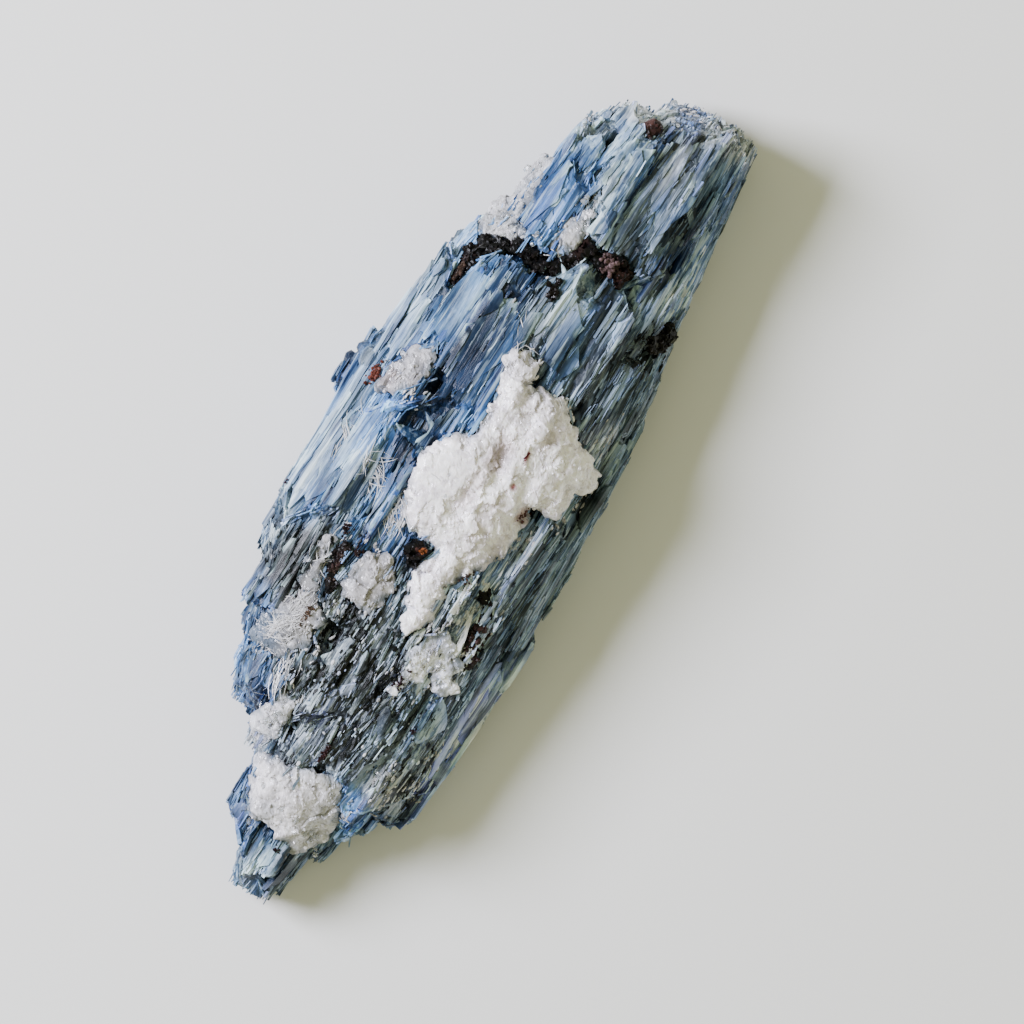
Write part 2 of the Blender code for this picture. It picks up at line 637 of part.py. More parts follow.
def edge_break(index, row, pockets):
    """A leaning block that breaks the edge of the sheaf back to a line."""
    start, end = Vector(row[:2]) * MM, Vector(row[2:]) * MM
    way = end - start
    bpy.ops.mesh.primitive_cube_add(size=1)
    obj = bpy.context.object
    obj.name = f"break_{index}"
    place = Matrix.Translation((*((start + end) / 2), BREAK_LEVEL))
    place = place @ Matrix.Rotation(math.atan2(way.y, way.x), 4, "Z")
    lean = Matrix.Rotation(BREAK_LEAN, 4, "X")
    size = Matrix.Diagonal((way.length, BREAK_DEPTH, BREAK_HEIGHT, 1))
    obj.matrix_world = place @ lean @ Matrix.Translation((0, BREAK_DEPTH / 2, 0)) @ size
    helper(obj, pockets)


# ---- putting it together ---------------------------------------------------------------------------------


def new_collection(name):
    collection = bpy.data.collections.new(name)
    bpy.context.scene.collection.children.link(collection)
    return collection


def boolean(obj, collection, operation):
    modifier = obj.modifiers.new(operation.title(), "BOOLEAN")
    modifier.operation = operation
    modifier.operand_type = "COLLECTION"
    modifier.collection = collection
    modifier.solver = "EXACT"


def keep_largest(obj):
    """Applies the modifiers and drops the chips that a pocket has cut free of the sheaf."""
    bpy.context.view_layer.update()
    graph = bpy.context.evaluated_depsgraph_get()
    mesh = bpy.data.meshes.new_from_object(obj.evaluated_get(graph))
    obj.modifiers.clear()
    obj.data = mesh
    bm = bmesh.new()
    bm.from_mesh(mesh)
    islands, seen = [], set()
    for start in bm.verts:
        if start in seen:
            continue
        island, front = [], [start]
        seen.add(start)
        while front:
            vert = front.pop()
            island.append(vert)
            for edge in vert.link_edges:
                other = edge.other_vert(vert)
                if other not in seen:
                    seen.add(other)
                    front.append(other)
        islands.append(island)
    islands.sort(key=len)
    for island in islands[:-1]:
        bmesh.ops.delete(bm, geom=island, context="VERTS")
    bm.to_mesh(mesh)
    bm.free()


def material(name, look):
    colour, roughness = look
    made = bpy.data.materials.new(name)
    made.use_nodes = True
    made.diffuse_color = colour
    shader = made.node_tree.nodes["Principled BSDF"]
    shader.inputs["Base Color"].default_value = colour
    shader.inputs["Roughness"].default_value = roughness
    shader.inputs["Metallic"].default_value = 0.0
    return made


def ground(collection):
    """A block under Z = 0 that cuts the underside flat."""
    bpy.ops.mesh.primitive_cube_add(size=1, location=(0, 0, -10 * MM), scale=(200 * MM, 100 * MM, 20 * MM))
    obj = bpy.context.object
    obj.name = "ground"
    helper(obj, collection)


def main():
    for obj in list(bpy.data.objects):
        bpy.data.objects.remove(obj)
    looks = {
        "kyanite": material("kyanite", KYANITE),
        "quartz": material("quartz", QUARTZ),
        "garnet": material("garnet", GARNET),
    }
    blades, pockets = new_collection("blades"), new_collection("pockets")
    rng = random.Random(BLADE_SEED)
    directions = lane_directions()
    for lane in range(len(directions)):
        lane_blades(directions, lane, blades, rng)
    under_blades(blades, rng)
    for name, row in SLABS.items():
        slab(name, row, blades, rng)
    rng = random.Random(LUMP_SEED)
    for name, row in MASSES.items():
        obj = mass(name, row, pockets, rng)
        obj.data.materials.append(looks[name.split("_")[0]])
    for index, row in enumerate(PITS):
        pit(index, row, pockets)
    for index, row in enumerate(BREAKS):
        edge_break(index, row, pockets)
    ground(pockets)
    body = core()
    boolean(body, blades, "UNION")
    dissolve = body.modifiers.new("Drop slivers", "DECIMATE")
    dissolve.ratio = KEPT_TRIANGLES
    boolean(body, pockets, "DIFFERENCE")
    keep_largest(body)
    body.data.materials.clear()
    body.data.materials.append(looks["kyanite"])


main()
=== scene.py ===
import itertools
import math
import random

import bpy
import numpy as np
from mathutils import Matrix, Vector, noise
from mathutils.bvhtree import BVHTree


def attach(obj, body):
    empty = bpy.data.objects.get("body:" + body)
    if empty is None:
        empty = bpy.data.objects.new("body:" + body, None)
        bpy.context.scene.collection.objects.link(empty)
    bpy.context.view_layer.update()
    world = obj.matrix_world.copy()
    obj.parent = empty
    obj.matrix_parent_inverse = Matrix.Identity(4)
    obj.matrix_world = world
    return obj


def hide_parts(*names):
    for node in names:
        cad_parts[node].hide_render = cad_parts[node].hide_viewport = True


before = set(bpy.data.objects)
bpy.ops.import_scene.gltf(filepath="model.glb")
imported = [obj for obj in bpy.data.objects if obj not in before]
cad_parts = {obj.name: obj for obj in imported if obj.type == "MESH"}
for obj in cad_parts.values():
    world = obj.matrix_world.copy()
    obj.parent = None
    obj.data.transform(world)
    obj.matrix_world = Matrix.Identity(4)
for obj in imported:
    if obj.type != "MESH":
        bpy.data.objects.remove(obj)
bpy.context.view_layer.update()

bl_info = {
    "name": "Kyanite blade cluster",
    "version": (1, 0, 0),
    "blender": (4, 5, 0),
    "location": "View3D > Sidebar > Kyanite",
    "description": "Dresses a kyanite blade cluster with laths, quartz grains and garnet crusts",
    "category": "Add Mesh",
}

MM = 0.001
DOWN, UP = Vector((0, 0, -1)), Vector((0, 0, 1))
ABOVE_ALL = 0.05  # a height over the whole cluster, in metres
SHEAF = "kyanite_blades"
QUARTZ_NODES = [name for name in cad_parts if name.startswith("quartz_")]
GARNET_NODES = [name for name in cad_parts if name.startswith("garnet_")]

LIGHT = 2.3  # how much brighter than its own colour a face turned up is lit
SHOULDER = 1.3  # how soon the brightest tones need more light to show
MOST_TONE = 0.82  # no blade is brighter than this
NEAR_BLACK = np.array([0.004, 0.004, 0.0045])  # the garnet's own colour
# Colours as sRGB: frosted seams, frayed ends of laths, frayed edges of flakes, white crumbs and thin quartz.
SEAM_WHITE, END_WHITE, EDGE_WHITE, CRUMB_WHITE, THIN_QUARTZ = "D6DAE0", "D3DCE2", "D2DEE6", "D8D8DC", "7F909F"
WHITE_CRUMBS, CRUMB_GRIT = 0.07, 0.7  # the share of the crumbs that are white, and how gritty they look
QUARTZ_IOR = 1.54
QUARTZ_VOXEL, GARNET_VOXEL = 0.32 * MM, 0.3 * MM
FLAKE_THICKNESS = 0.8 * MM
# Seeds of the random draws, one for each group of pieces.
CRUMB_SEED, FLAKE_SEED, QUARTZ_SEED, SPECK_SEED, HAIR_SEED, GARNET_SEED = 24, 25, 40, 53, 61, 70
# Nodes that laths may lie over as they do over the sheaf, and nodes with few grains on them.
THIN_CRUSTS, SMALL_CRUSTS = ("garnet_streak", "garnet_stripe"), ("garnet_grain", "garnet_speck")
# Sizes along X, Y and Z of the cells that colours and relief share: blades and what is finer on them.
BLADE, DULL, PATCH, LATH, FIBRE, CLUMP = (
    np.array(size) * MM
    for size in ((15, 2.2, 2.2), (9, 1.8, 1.8), (5, 1.4, 1.4), (13, 1.5, 1.5), (5, 0.6, 0.6), (2.6, 1.2, 1.2))
)
# Colours of the blades: the dark between them, their body and their frayed edges, as sRGB.
PALETTES = {
    "royal": ("0A2A52", "265C92", "78A0C4"),
    "navy": ("071E3C", "174A78", "5F8CB2"),
    "sky": ("2A5480", "6394BC", "A8C8DE"),
    "periwinkle": ("43669A", "7E9FC8", "AEC6E2"),
    "frost": ("587892", "9AB4C8", "D4E0E8"),
    "steel": ("1A3852", "56809E", "A2BACB"),
    "slate": ("1A2A34", "6A7F90", "B8C6CC"),
    "moss": ("1C2C30", "627C88", "A8B8BC"),
    "soot": ("12181E", "667078", "C4CACF"),
    "violet": ("3A4468", "98A6D0", "CED6EC"),
    "chalk": ("788088", "BCC0C4", "ECECEC"),
}
# Where each palette shows from above: middle, half length and half width in millimetres, and strength.
ZONES = {
    "steel": (
        (-70, -6.5, 4.5, 5, 2), (-27, 10, 5, 2, 1.6), (-9, 12, 6, 2.2, 3), (30, -6, 12, 2.6, 2),
        (56, -6.6, 13, 2.4, 3.2), (61, -10.6, 7, 2.4, 3.6),
    ),
    "slate": (
        (-66, -11, 6, 2.5, 2), (-43, -13, 7, 3.4, 2.8), (-38, -18, 8, 3, 2.2), (-12, -21.5, 14, 2.4, 3.2),
        (33, 1, 7, 3.4, 1.4), (31, -10.6, 12, 2.8, 3), (28, -15, 10, 3.4, 2.6), (55, -2.6, 10, 1.6, 3),
    ),
    "frost": (
        (-70, -8, 4, 3.4, 2.2), (-12, 20, 12, 3.6, 3), (-5, 12.5, 3, 1.5, 1.6), (-17, -13, 6, 3.4, 4),
        (4, 20.4, 9, 2.2, 3.6), (24, 20.2, 10, 1.8, 2.6), (26, 19.5, 12, 2.2, 1.6), (26, 12, 6, 1.4, 1),
        (33, 0, 7, 3.4, 2.4), (30, -7.4, 12, 1.6, 1.6), (60.5, 10.6, 5, 2.8, 3), (55, 3.6, 9, 2.2, 3.2),
        (47, -14.6, 8, 1.6, 2),
    ),
    "navy": (
        (-65, -5, 3, 2, 2.6), (-38, -19, 8, 3, 1.2), (7, 8, 7, 2.6, 2.8), (34, -5.8, 8, 0.9, 1),
        (49, -10.8, 6.5, 1.8, 3),
    ),
    "sky": (
        (-61, 1.5, 6, 2.2, 3), (-43, 12, 4.5, 2.4, 4), (-34, 16, 7, 2, 2.4), (-14, 17, 9, 2, 2.2),
        (-9, 6, 4.5, 3.4, 2.6), (-52, -14, 2.6, 5, 4.6), (5, 21, 9, 2.4, 3), (9, 24.4, 5.2, 1.6, 4),
        (4, 15, 6, 4, 2.6), (26, 18.5, 12, 2.6, 2), (22, 15.6, 12, 3.2, 2.6), (16, 3.2, 9, 2.2, 3.2),
        (26, 12.4, 7, 1.6, 1.4), (47.5, 9.6, 8.5, 3.8, 5),
    ),
    "periwinkle": (
        (-62, 1, 5, 2, 4.5), (-44, 8.4, 5, 2.4, 1.6), (-36, 17.6, 10, 0.9, 1), (46, 10, 6, 3, 3),
        (70, -1.4, 2.6, 2.4, 3.4),
    ),
    "royal": (
        (-44, 7.2, 5.5, 2.2, 3.4), (-33, 15.4, 6, 2.2, 3.8), (-10.5, 5.5, 4.5, 3, 1.4), (-1, 10, 4, 4, 3),
        (9, 23.8, 5.2, 1.8, 6), (24, 8.6, 13, 3.6, 4), (58, 0.2, 8, 0.9, 2.8), (49, -10.8, 6.5, 1.8, 3),
    ),
    "soot": (
        (-24, 14, 5.5, 3.6, 6), (-45, -5.5, 7, 4, 3.2), (-33, 1, 8, 4, 3.6), (-31, -8, 7, 2.6, 3),
        (-42, -21, 6, 2.6, 1.8), (-17, -16.5, 6, 2, 0.6),
    ),
    "violet": (
        # The strong oval on the lower edge near (-33, -23.6) is partly the edge's own pale violet-blue and partly
        # painted light, since that edge lies in shade.
        (-44, -2.5, 3.5, 1.6, 2.4), (-33, -23.6, 9, 1.4, 12), (-16, -13, 5, 2.4, 1.4),
    ),
    "moss": (
        (-26, -5.5, 6, 3, 2.6), (4, -22, 14, 2.6, 3), (16, -20, 16, 2.6, 2.8),
    ),
    "chalk": (
        (-31, 5, 7, 1.2, 1.4), (-47, -17.6, 3.6, 2.6, 2.6), (-24, -13, 4, 4.5, 2.2),
        (-52.6, 5, 1.8, 1.8, 6), (18, -17, 4.5, 2.6, 2), (26, -13.4, 9, 1.2, 1), (61.5, 10.6, 4, 2.6, 1.6),
        (61, -3.4, 4.5, 1.6, 2), (71, -8, 3.4, 5, 3.4), (68.5, 5, 3.6, 4, 3.2),
    ),
}
# Where the blades are darker: middle, half length and half width in millimetres, and strength, as below.
DARKER = (
    (-23.6, 14.2, 5.8, 4.4, 1.6), (-9, 12.2, 5.5, 1.6, 0.6), (24, 8, 12.5, 3.4, 0.8), (6, 8, 7, 2.6, 0.6),
    (16, 3.4, 8, 1.6, 0.1), (22, 15.6, 10, 2.4, 0.42), (56, -6.6, 12, 2.2, 0.5), (-33, 1.5, 9, 3.6, 0.25),
    (-45, -5.5, 6, 4, 0.15), (49, -10.8, 6, 1.6, 0.65), (34, -5.9, 8, 0.8, 0.1), (55, -2, 10, 0.7, 0.6),
    (-37, -10, 6, 1.2, 0.3), (24.5, -3, 6, 1, 0.7), (36.5, -15.5, 4, 2.4, 0.7), (9, 23.8, 5, 1.6, 0.2),
    (40, -8.2, 18, 0.5, 0.4), (-44, 7.6, 5.2, 2.2, 0.3), (-43, 11.6, 5, 2.4, 0.2),
    (2, -20.5, 16, 1.5, 0.05), (55, -2.8, 9, 1.6, 0.8), (-33, 15.6, 5, 1.8, 0.35), (-61, 1.4, 6, 2.6, 0.2),
    (33, -1, 7, 3, 0.2), (-12, 19, 12, 3, 0.22), (-65, -5, 2.6, 1.4, 0.5),
)
# Seams of paler, frosted blade.
PALER = (
    (-33, -23.2, 8, 1.4, 0.8), (-17, -14.6, 5.6, 3.6, 1), (-42, -14, 6, 2.4, 0.4), (-38, -19.6, 6, 2, 0.4),
    (5, 20.6, 8, 1.6, 0.3), (26, 19.4, 9, 1.6, 0.3), (55, 3.4, 8, 1.3, 0.5), (56, -6.6, 9, 1.4, 0.5),
    (-47, -17.6, 3.6, 2.2, 0.7), (-5, 12, 1.6, 1.6, 0.6), (-4, -15.6, 4, 1.6, 0.8),
    (17, -17.4, 3.6, 2.4, 0.6), (60.5, -3.4, 4, 1.4, 0.7), (71, -8, 2, 4, 0.6), (68, 5, 3, 4, 0.6),
    (-46, -2.2, 2.6, 1.2, 0.5), (-31, 5.4, 5, 0.7, 0.7), (33, 0.6, 5, 2.4, 0.4), (-30, -3.2, 8, 0.6, 0.5),
    (24, 12.2, 4, 0.9, 0.3), (-27, -10.5, 5, 1, 0.7), (44, -13.6, 3, 1, 0.6), (-69, -6, 2.6, 1.4, 0.4),
)
# Holes and cracks, where nothing is laid and the sheaf is painted dark: painted shade in the hollows.
HOLES = (
    (12.4, 10.3, 1.5, 1, 1), (17, 10.9, 5, 0.6, 0.8), (-10.4, 8.1, 1.2, 0.7, 1),
    (20.2, -11.1, 2.6, 0.8, 0.9), (24.5, -2.9, 5, 0.6, 0.8), (48, -11.8, 5, 1, 0.3),
    (60, 7.4, 2.6, 0.4, 0.8), (57, 5.5, 3.4, 0.4, 0.7), (-34.8, -2.7, 2.2, 0.5, 0.8),
    (-31.5, -8.7, 3.6, 0.8, 0.7), (-32.5, 3.5, 5, 0.7, 0.6), (-24, 14.5, 3, 1.6, 0.4),
    (-69.5, -3.9, 2.6, 0.4, 0.6), (-66, -9.6, 4, 0.4, 0.7), (-19.5, -12, 1.6, 1, 0.7),
)
# The knob on the upper edge stands out: middle and reach along X, and height, in millimetres.
KNOB = (10, 1.9, 1.2)
# Broad cleavage faces that stay clean.
CLEAN = (
    (48, 9.8, 9, 3.4, 0.95), (8.8, 23.4, 4.5, 2, 0.6), (-60, 1, 6.5, 3, 0.95), (-52, -15.5, 2.8, 3, 0.7),
    (30, 16.5, 7, 2.2, 0.6), (22, 7, 9, 2, 0.6),
)
# Where the blades are broad and smooth.
BROAD = (
    (30, 6, 44, 17, 0.9), (-7, 17, 11, 6, 0.85), (-40, 12, 10, 5.5, 0.8), (-60, 1.2, 8, 3, 0.85),
    (-70, -7, 5, 5.5, 0.7), (-52, -15, 3, 5, 0.8), (-33, -23.4, 11, 2, 0.7), (-10, 6, 7, 5, 0.7),
)
# Where clear grains of quartz stand.
CLEAR = (
    (-47, 3.6, 4.8, 2, 1), (-57, -7, 5, 6, 0.6), (-60, -12, 4, 1.4, 0.8), (56, 14.4, 7, 1, 0.9),
    (45, 14.6, 8, 1.6, 0.8), (71, -8, 2.2, 4.4, 0.5), (-23.5, -13.6, 2.4, 3.6, 0.6),
    (-17, -14, 3.6, 2, 0.5), (21, -7, 1.4, 3.6, 0.5), (48, 4.6, 4.6, 1.4, 0.5), (39.6, 13.6, 1.2, 4, 0.6),
    (-52.5, -14, 4, 1.6, 0.4), (-28, -11, 3, 1.4, 0.4), (70, 3, 2.4, 4, 0.4), (-4, 1, 5, 2, 0.3),
    (-47, -17, 3.6, 2.6, 0.4),
)
# Where small pale and dark crumbs lie between the laths.
CRUMBS = (
    (71, 0, 4, 16, 0.7), (56, 15, 12, 2.4, 0.6), (-40, -10, 18, 10, 0.8), (-33, 1, 12, 5, 0.95),
    (-24, 8, 14, 7, 0.55), (-4, -12, 10, 5, 0.4), (-16, -13, 9, 5, 0.9), (-38, -18, 13, 5, 0.8),
    (-48, 0, 6, 6, 0.7), (-58, -8, 10, 6, 0.35), (28, 3, 10, 6, 0.15), (-24, 14, 5, 4, 0.15),
)
# Where loose white grains are strewn.
SUGAR = (
    (-47, -17.6, 4.6, 2.6, 0.9), (-56, -14, 5, 2, 0.6), (-26, -12.5, 6, 4.4, 0.7), (-4, -15.5, 5, 2, 0.9),
    (-17, -12.5, 6, 3, 0.7), (-17.6, -16.4, 5.6, 2.2, 0.45), (-21, 9.4, 4.4, 0.9, 0.9),
    (-21, 6.4, 4.4, 0.8, 0.9), (-42, -21.6, 5, 2, 0.4), (-29, 8, 10, 4.4, 0.7), (-20, 2, 5.4, 4, 0.8),
    (-46.5, 3, 5.5, 2, 0.8), (-36, 9, 4, 4, 0.5), (-18, 10.5, 4, 2.2, 0.9), (11.6, 14.8, 4.4, 3, 0.9),
    (44, 5, 6, 1.6, 0.8), (51, 14.8, 13, 1, 0.8), (40, 14, 3, 5, 0.6), (17.5, -17, 4, 2.4, 0.5),
    (8, -19, 6, 1.6, 0.5), (-60, -8, 4, 6, 0.7), (22, 2.4, 4, 0.9, 0.5), (72, -3, 2.2, 11, 0.4),
    (23, -1, 2.6, 1.6, 0.6), (-12, -6, 5, 4, 0.5), (-6, 4, 5, 1.8, 0.6), (60, 12.6, 6, 1.2, 0.3),
    (37, 18.6, 3, 1.4, 0.6), (-29, 3.6, 8, 0.8, 0.5), (-52.4, 4.6, 1.6, 1.8, 1),
)
# Where dark flakes lie between the blades.
MICA = (
    (-24, 14, 5, 4, 0.6), (-33, 2, 8, 3, 0.7), (-31, -8.6, 6, 1.6, 0.8), (-45, -6, 6, 3, 0.4),
    (-18, -13.5, 5, 2.4, 0.3), (-41, -20, 8, 2, 0.4), (36, -15.8, 4.4, 2.6, 0.8), (33.5, 2, 2, 0.8, 0.9),
    (-16.5, 8.5, 2.6, 3, 0.5), (21, -10.8, 3, 0.8, 0.8), (-37, -10, 7, 1, 0.6), (-10, -12, 3, 1.2, 0.5),
    (-25, -18.6, 6, 1.2, 0.4),
)
# How light each mass of quartz is, in red, green and blue. The tail, turned from the window where mostly the warm
# room light falls, is made much lighter and bluer: painted light.
WHITENESS = {
    "quartz_heart": (1.29, 1.25, 1.29), "quartz_foot": (0.92, 0.92, 0.94), "quartz_tail": (1.34, 1.40, 1.58),
    "quartz_waist": (0.55, 0.55, 0.56), "quartz_nest": (0.65, 0.64, 0.65), "quartz_heel": (0.80, 0.81, 0.83),
    "quartz_patch": (0.54, 0.54, 0.56), "quartz_notch": (0.70, 0.70, 0.70),
    "quartz_shoulder": (0.67, 0.68, 0.68),
}
# Where a mass of quartz swells up: middle, reach and height in millimetres.
SWELLS = (
    (12, -15, 6.5, 4.6, 1), (-2, -9, 5, 3, 0.9), (6, -1, 5, 3, 0.4), (-1, 1.5, 4, 3, 0.8),
    (15, -4.5, 4, 3, -0.8), (8, -4.6, 3, 1.6, -1.2), (-57, -7, 4, 5, 0.6), (-14, -7, 4, 1.6, 0.6),
    (1, -3.6, 4, 1, -0.7), (19, -1, 4, 1.2, 0.4), (5, -10, 4, 1.2, -0.6),
)
TOP = 29.6 * MM  # above this the quartz is pressed flatter, so that it stays within the part's height
# Stains on the quartz: colour as sRGB, place and strength.
STAINS = (
    ("8F8178", 8, -4.4, 3.2, 1.8, 0.75), ("A39A90", -2, -8, 5, 1.6, 0.35), ("7A1C20", 10, -8.2, 1, 0.28, 1),
    ("8A2A28", 5, -8.8, 0.5, 0.35, 0.9), ("9A5A50", 2, -13, 1.6, 1, 0.5), ("B5B0A4", -31, 7.6, 3, 1, 0.6),
    ("8A7464", -29.5, 7.8, 2.2, 0.7, 0.7), ("A8A6A4", -20, 2, 4.6, 4, 0.3), ("B8B4B0", -30, 9.5, 6, 3, 0.3),
    ("A08078", 9, 17, 1.6, 1.4, 0.5), ("C9C4BE", -57, -6, 6, 7, 0.3), ("B4AAA4", 1, -3.6, 3.6, 1.2, 0.5),
    ("B0A8A4", 14.5, -9.6, 2.4, 1.2, 0.5), ("9C9894", 18.4, -5.4, 2, 2.6, 0.4),
    ("A8A09C", -6, -11.8, 3.6, 1, 0.5), ("9A9C9E", 21.5, 0.2, 2, 1.6, 0.5),
    ("A4A8AA", -56, -11, 5, 1.4, 0.4), ("9AA0A4", -60, -3.4, 2, 1.4, 0.5),
    ("A8ACB0", -23.6, -14.6, 1.6, 2.6, 0.3), ("647E9A", -35.4, 11.6, 4.4, 3.4, 0.9),
    ("B0ACA6", -33, 9, 2, 1.2, 0.6), ("22303A", -24.6, 12.8, 4.8, 2, 1), ("6A86A4", -59, 2.2, 5, 1.2, 0.8),
)
# Where laths lap over the quartz.
LAPPED = (
    (-18, -16.6, 6, 2.6, 0.4), (-21, 6.6, 4.6, 0.8, 0.8), (-21, 9.6, 4.6, 0.7, 0.8),
    (-24, 13.6, 4.8, 2.4, 1), (-59.5, 2, 6, 1.1, 1), (-35, 13.6, 3, 1.6, 0.6), (-41.6, 5.6, 2, 1, 0.6),
)
# Where white hairs curl: middle, reach, how many, and their heading in radians.
HAIRS = (
    (-34.6, 11, 2.4, 1.3, 80, 2.1), (-32.6, 10.2, 2.8, 1.3, 70, 2.5), (-30.6, 9, 3.4, 1.2, 50, 2.9),
    (-36.2, 10.6, 1.4, 1.5, 26, 1.7), (-5, 12, 2.8, 2.6, 46, 1.1), (-8, 4, 3.8, 1.6, 46, 0.5),
    (-22, 10, 3.6, 1.2, 40, 0.2), (-40, 6, 3.6, 1.6, 30, 0.2), (24, 2.6, 4, 0.8, 20, 0.1),
    (-3, 17, 4, 2, 24, 0.5),
)
# Where the garnet is red-brown.
RUSTY = (
    (30, 16.8, 3, 0.9, 0.35), (43.4, 2.6, 2.6, 1, 0.35), (42.6, -5.4, 2.2, 2, 0.5), (64.6, 3.3, 3, 3, 1),
    (-11.6, -1.8, 0.7, 0.8, 0.7), (-18, -17, 5, 2, 0.45), (-20, 7.6, 3, 1, 0.35), (8.3, 19, 2.6, 2, 1.5),
)
# Small dark and red-brown grains: middle, reach, how many, their size and their colour as sRGB.
SPECKS = (
    (8.3, 19.3, 1.5, 0.9, 90, 0.45, "8E5448"), (-46.8, -6.5, 2, 0.3, 60, 0.4, "3E2426"),
    (-64.4, -8, 0.6, 0.6, 12, 0.4, "3A2430"), (-14.9, 9.8, 0.9, 0.8, 34, 0.4, "3A2628"),
    (-17, 6.2, 0.8, 1, 30, 0.4, "3C2A2A"), (34.4, 2.2, 1, 0.8, 26, 0.8, "221C1A"),
    (36.2, 2.6, 1, 0.8, 14, 0.8, "1C1614"), (-29.8, 7.9, 1.8, 0.5, 30, 0.4, "806858"),
    (-31, -10.8, 1.6, 1.2, 26, 0.4, "4A3036"), (-36.6, -16.4, 0.8, 0.4, 12, 0.4, "2E2028"),
    (-11, -10.6, 1.6, 0.8, 34, 0.4, "584034"), (-14, 22.4, 0.8, 0.5, 16, 0.4, "5E4658"),
    (-11.4, -2.4, 0.5, 0.6, 22, 0.4, "B07040"), (2, -13, 1.6, 0.8, 30, 0.35, "7E5550"),
    (10, -8.2, 0.9, 0.15, 20, 0.3, "7A2A2E"), (29.4, 16.6, 2, 0.5, 50, 0.5, "5A463C"),
    (43, -2.6, 1.5, 1.2, 60, 0.7, "8A7274"), (-21, 7.8, 3, 0.5, 60, 0.4, "5A4A42"),
)
# Strands of each lath: sides, ends along X, middle and width across, top, and the slant and slope of their ends.
RIBS = (
    ((4, -0.5, 0.36, 0, 0.8, 0, 0.34, 0.2), (4, -0.3, 0.5, 0.22, 0.34, 0.1, 0.5, 0.3),
     (3, -0.2, 0.46, -0.28, 0.3, 0, -0.4, 0.2)),
    ((4, -0.44, 0.5, 0, 0.7, 0, -0.4, 0.2), (3, -0.5, 0.1, -0.3, 0.3, 0.1, 0.3, 0.2)),
    ((4, -0.5, 0.3, -0.2, 0.5, 0, 0.5, 0.2), (4, -0.34, 0.5, 0.22, 0.42, -0.1, -0.4, 0.2)),
)
BUNDLES = (
    ((4, -0.45, 0.4, 0, 0.55, -0.1, 0.5, 0.4), (3, -0.5, 0.2, 0.3, 0.3, 0, 0.5, 0.4),
     (3, -0.2, 0.5, -0.32, 0.34, 0.05, -0.5, 0.4)),
    ((3, -0.5, 0.3, -0.36, 0.3, -0.1, 0.1, 0.5), (3, -0.4, 0.5, -0.1, 0.32, 0.1, 0.2, 0.5),
     (3, -0.35, 0.42, 0.16, 0.28, 0, -0.2, 0.4), (3, -0.1, 0.46, 0.4, 0.26, -0.15, 0, 0.4)),
    ((4, -0.5, 0.2, -0.25, 0.34, 0, 0.6, 0.5), (4, -0.2, 0.5, 0.05, 0.3, 0.15, -0.6, 0.5),
     (3, -0.42, 0.35, 0.34, 0.3, 0, 0.1, 0.4)),
)
SPLINTERS = (((3, -0.5, 0.5, 0, 1, 0, 0.8, 1.5),), ((4, -0.5, 0.5, 0, 0.9, 0, -0.9, 1.2),))
BENDS = (-0.38, -0.2, 0, 0.2, 0.38)  # where a rib can bend along X
# Corners cut off each flake: a point on the cut, which end it is at, and its slant.
FLAKES = (
    ((0.34, 0, 1, 0.55), (0.46, 0, 1, -0.2), (-0.38, 0, -1, 0.4), (-0.4, 0, -1, -0.5)),
    ((0.4, 0, 1, -0.6), (-0.3, 0, -1, -0.7), (-0.44, 0.1, -1, 0.1)),
    ((0.3, 0.1, 1, 0.9), (0.44, -0.2, 1, 0.1), (-0.42, 0, -1, 0.3)),
    ((0.42, 0, 1, 0.35), (0.38, 0, 1, -0.45), (-0.36, 0, -1, 0.8), (-0.47, 0, -1, 0)),
)
# Where the laths lie less evenly.
TANGLED = (
    (-30, 2, 20, 10, 1), (-38, -16, 15, 7.5, 0.9), (-20, -14, 12, 6, 0.7), (-6, 12, 8, 5, 0.5),
)

# The stage: the room's even light, the window, its power in watts, and how the camera looks at the cluster.
ROOM_COLOUR, ROOM_STRENGTH = (0.985, 0.985, 0.60, 1), 0.58
WINDOW_COLOUR, WINDOW_POWER = (0.86, 0.865, 1.0), 27.0
WINDOW_SIZE, WINDOW_PLACE = (0.40, 0.40), (-0.15, 0.71, 0.61)
SENSOR = 36.0
VIEW_UP, VIEW_MIDDLE = (0.8434, 0.5373, 0), (1.5 * MM, -11.0 * MM)
VIEW_LEVEL = 14 * MM  # the height at which the view is as wide as the settings say


# ---- settings ---------------------------------------------------------------


def length_setting(name, description, default):
    """A length that can be changed, with its default in millimetres."""
    return bpy.props.FloatProperty(name=name, description=description, default=default * MM, unit="LENGTH")


def count_setting(name, description, default):
    """A number of pieces that can be changed."""
    return bpy.props.IntProperty(name=name, description=description, default=default, min=0)


def colour_setting(name, description, default):
    """A colour that can be changed."""
    return bpy.props.FloatVectorProperty(
        name=name, description=description, subtype="COLOR", size=3, default=default, min=0, max=1
    )


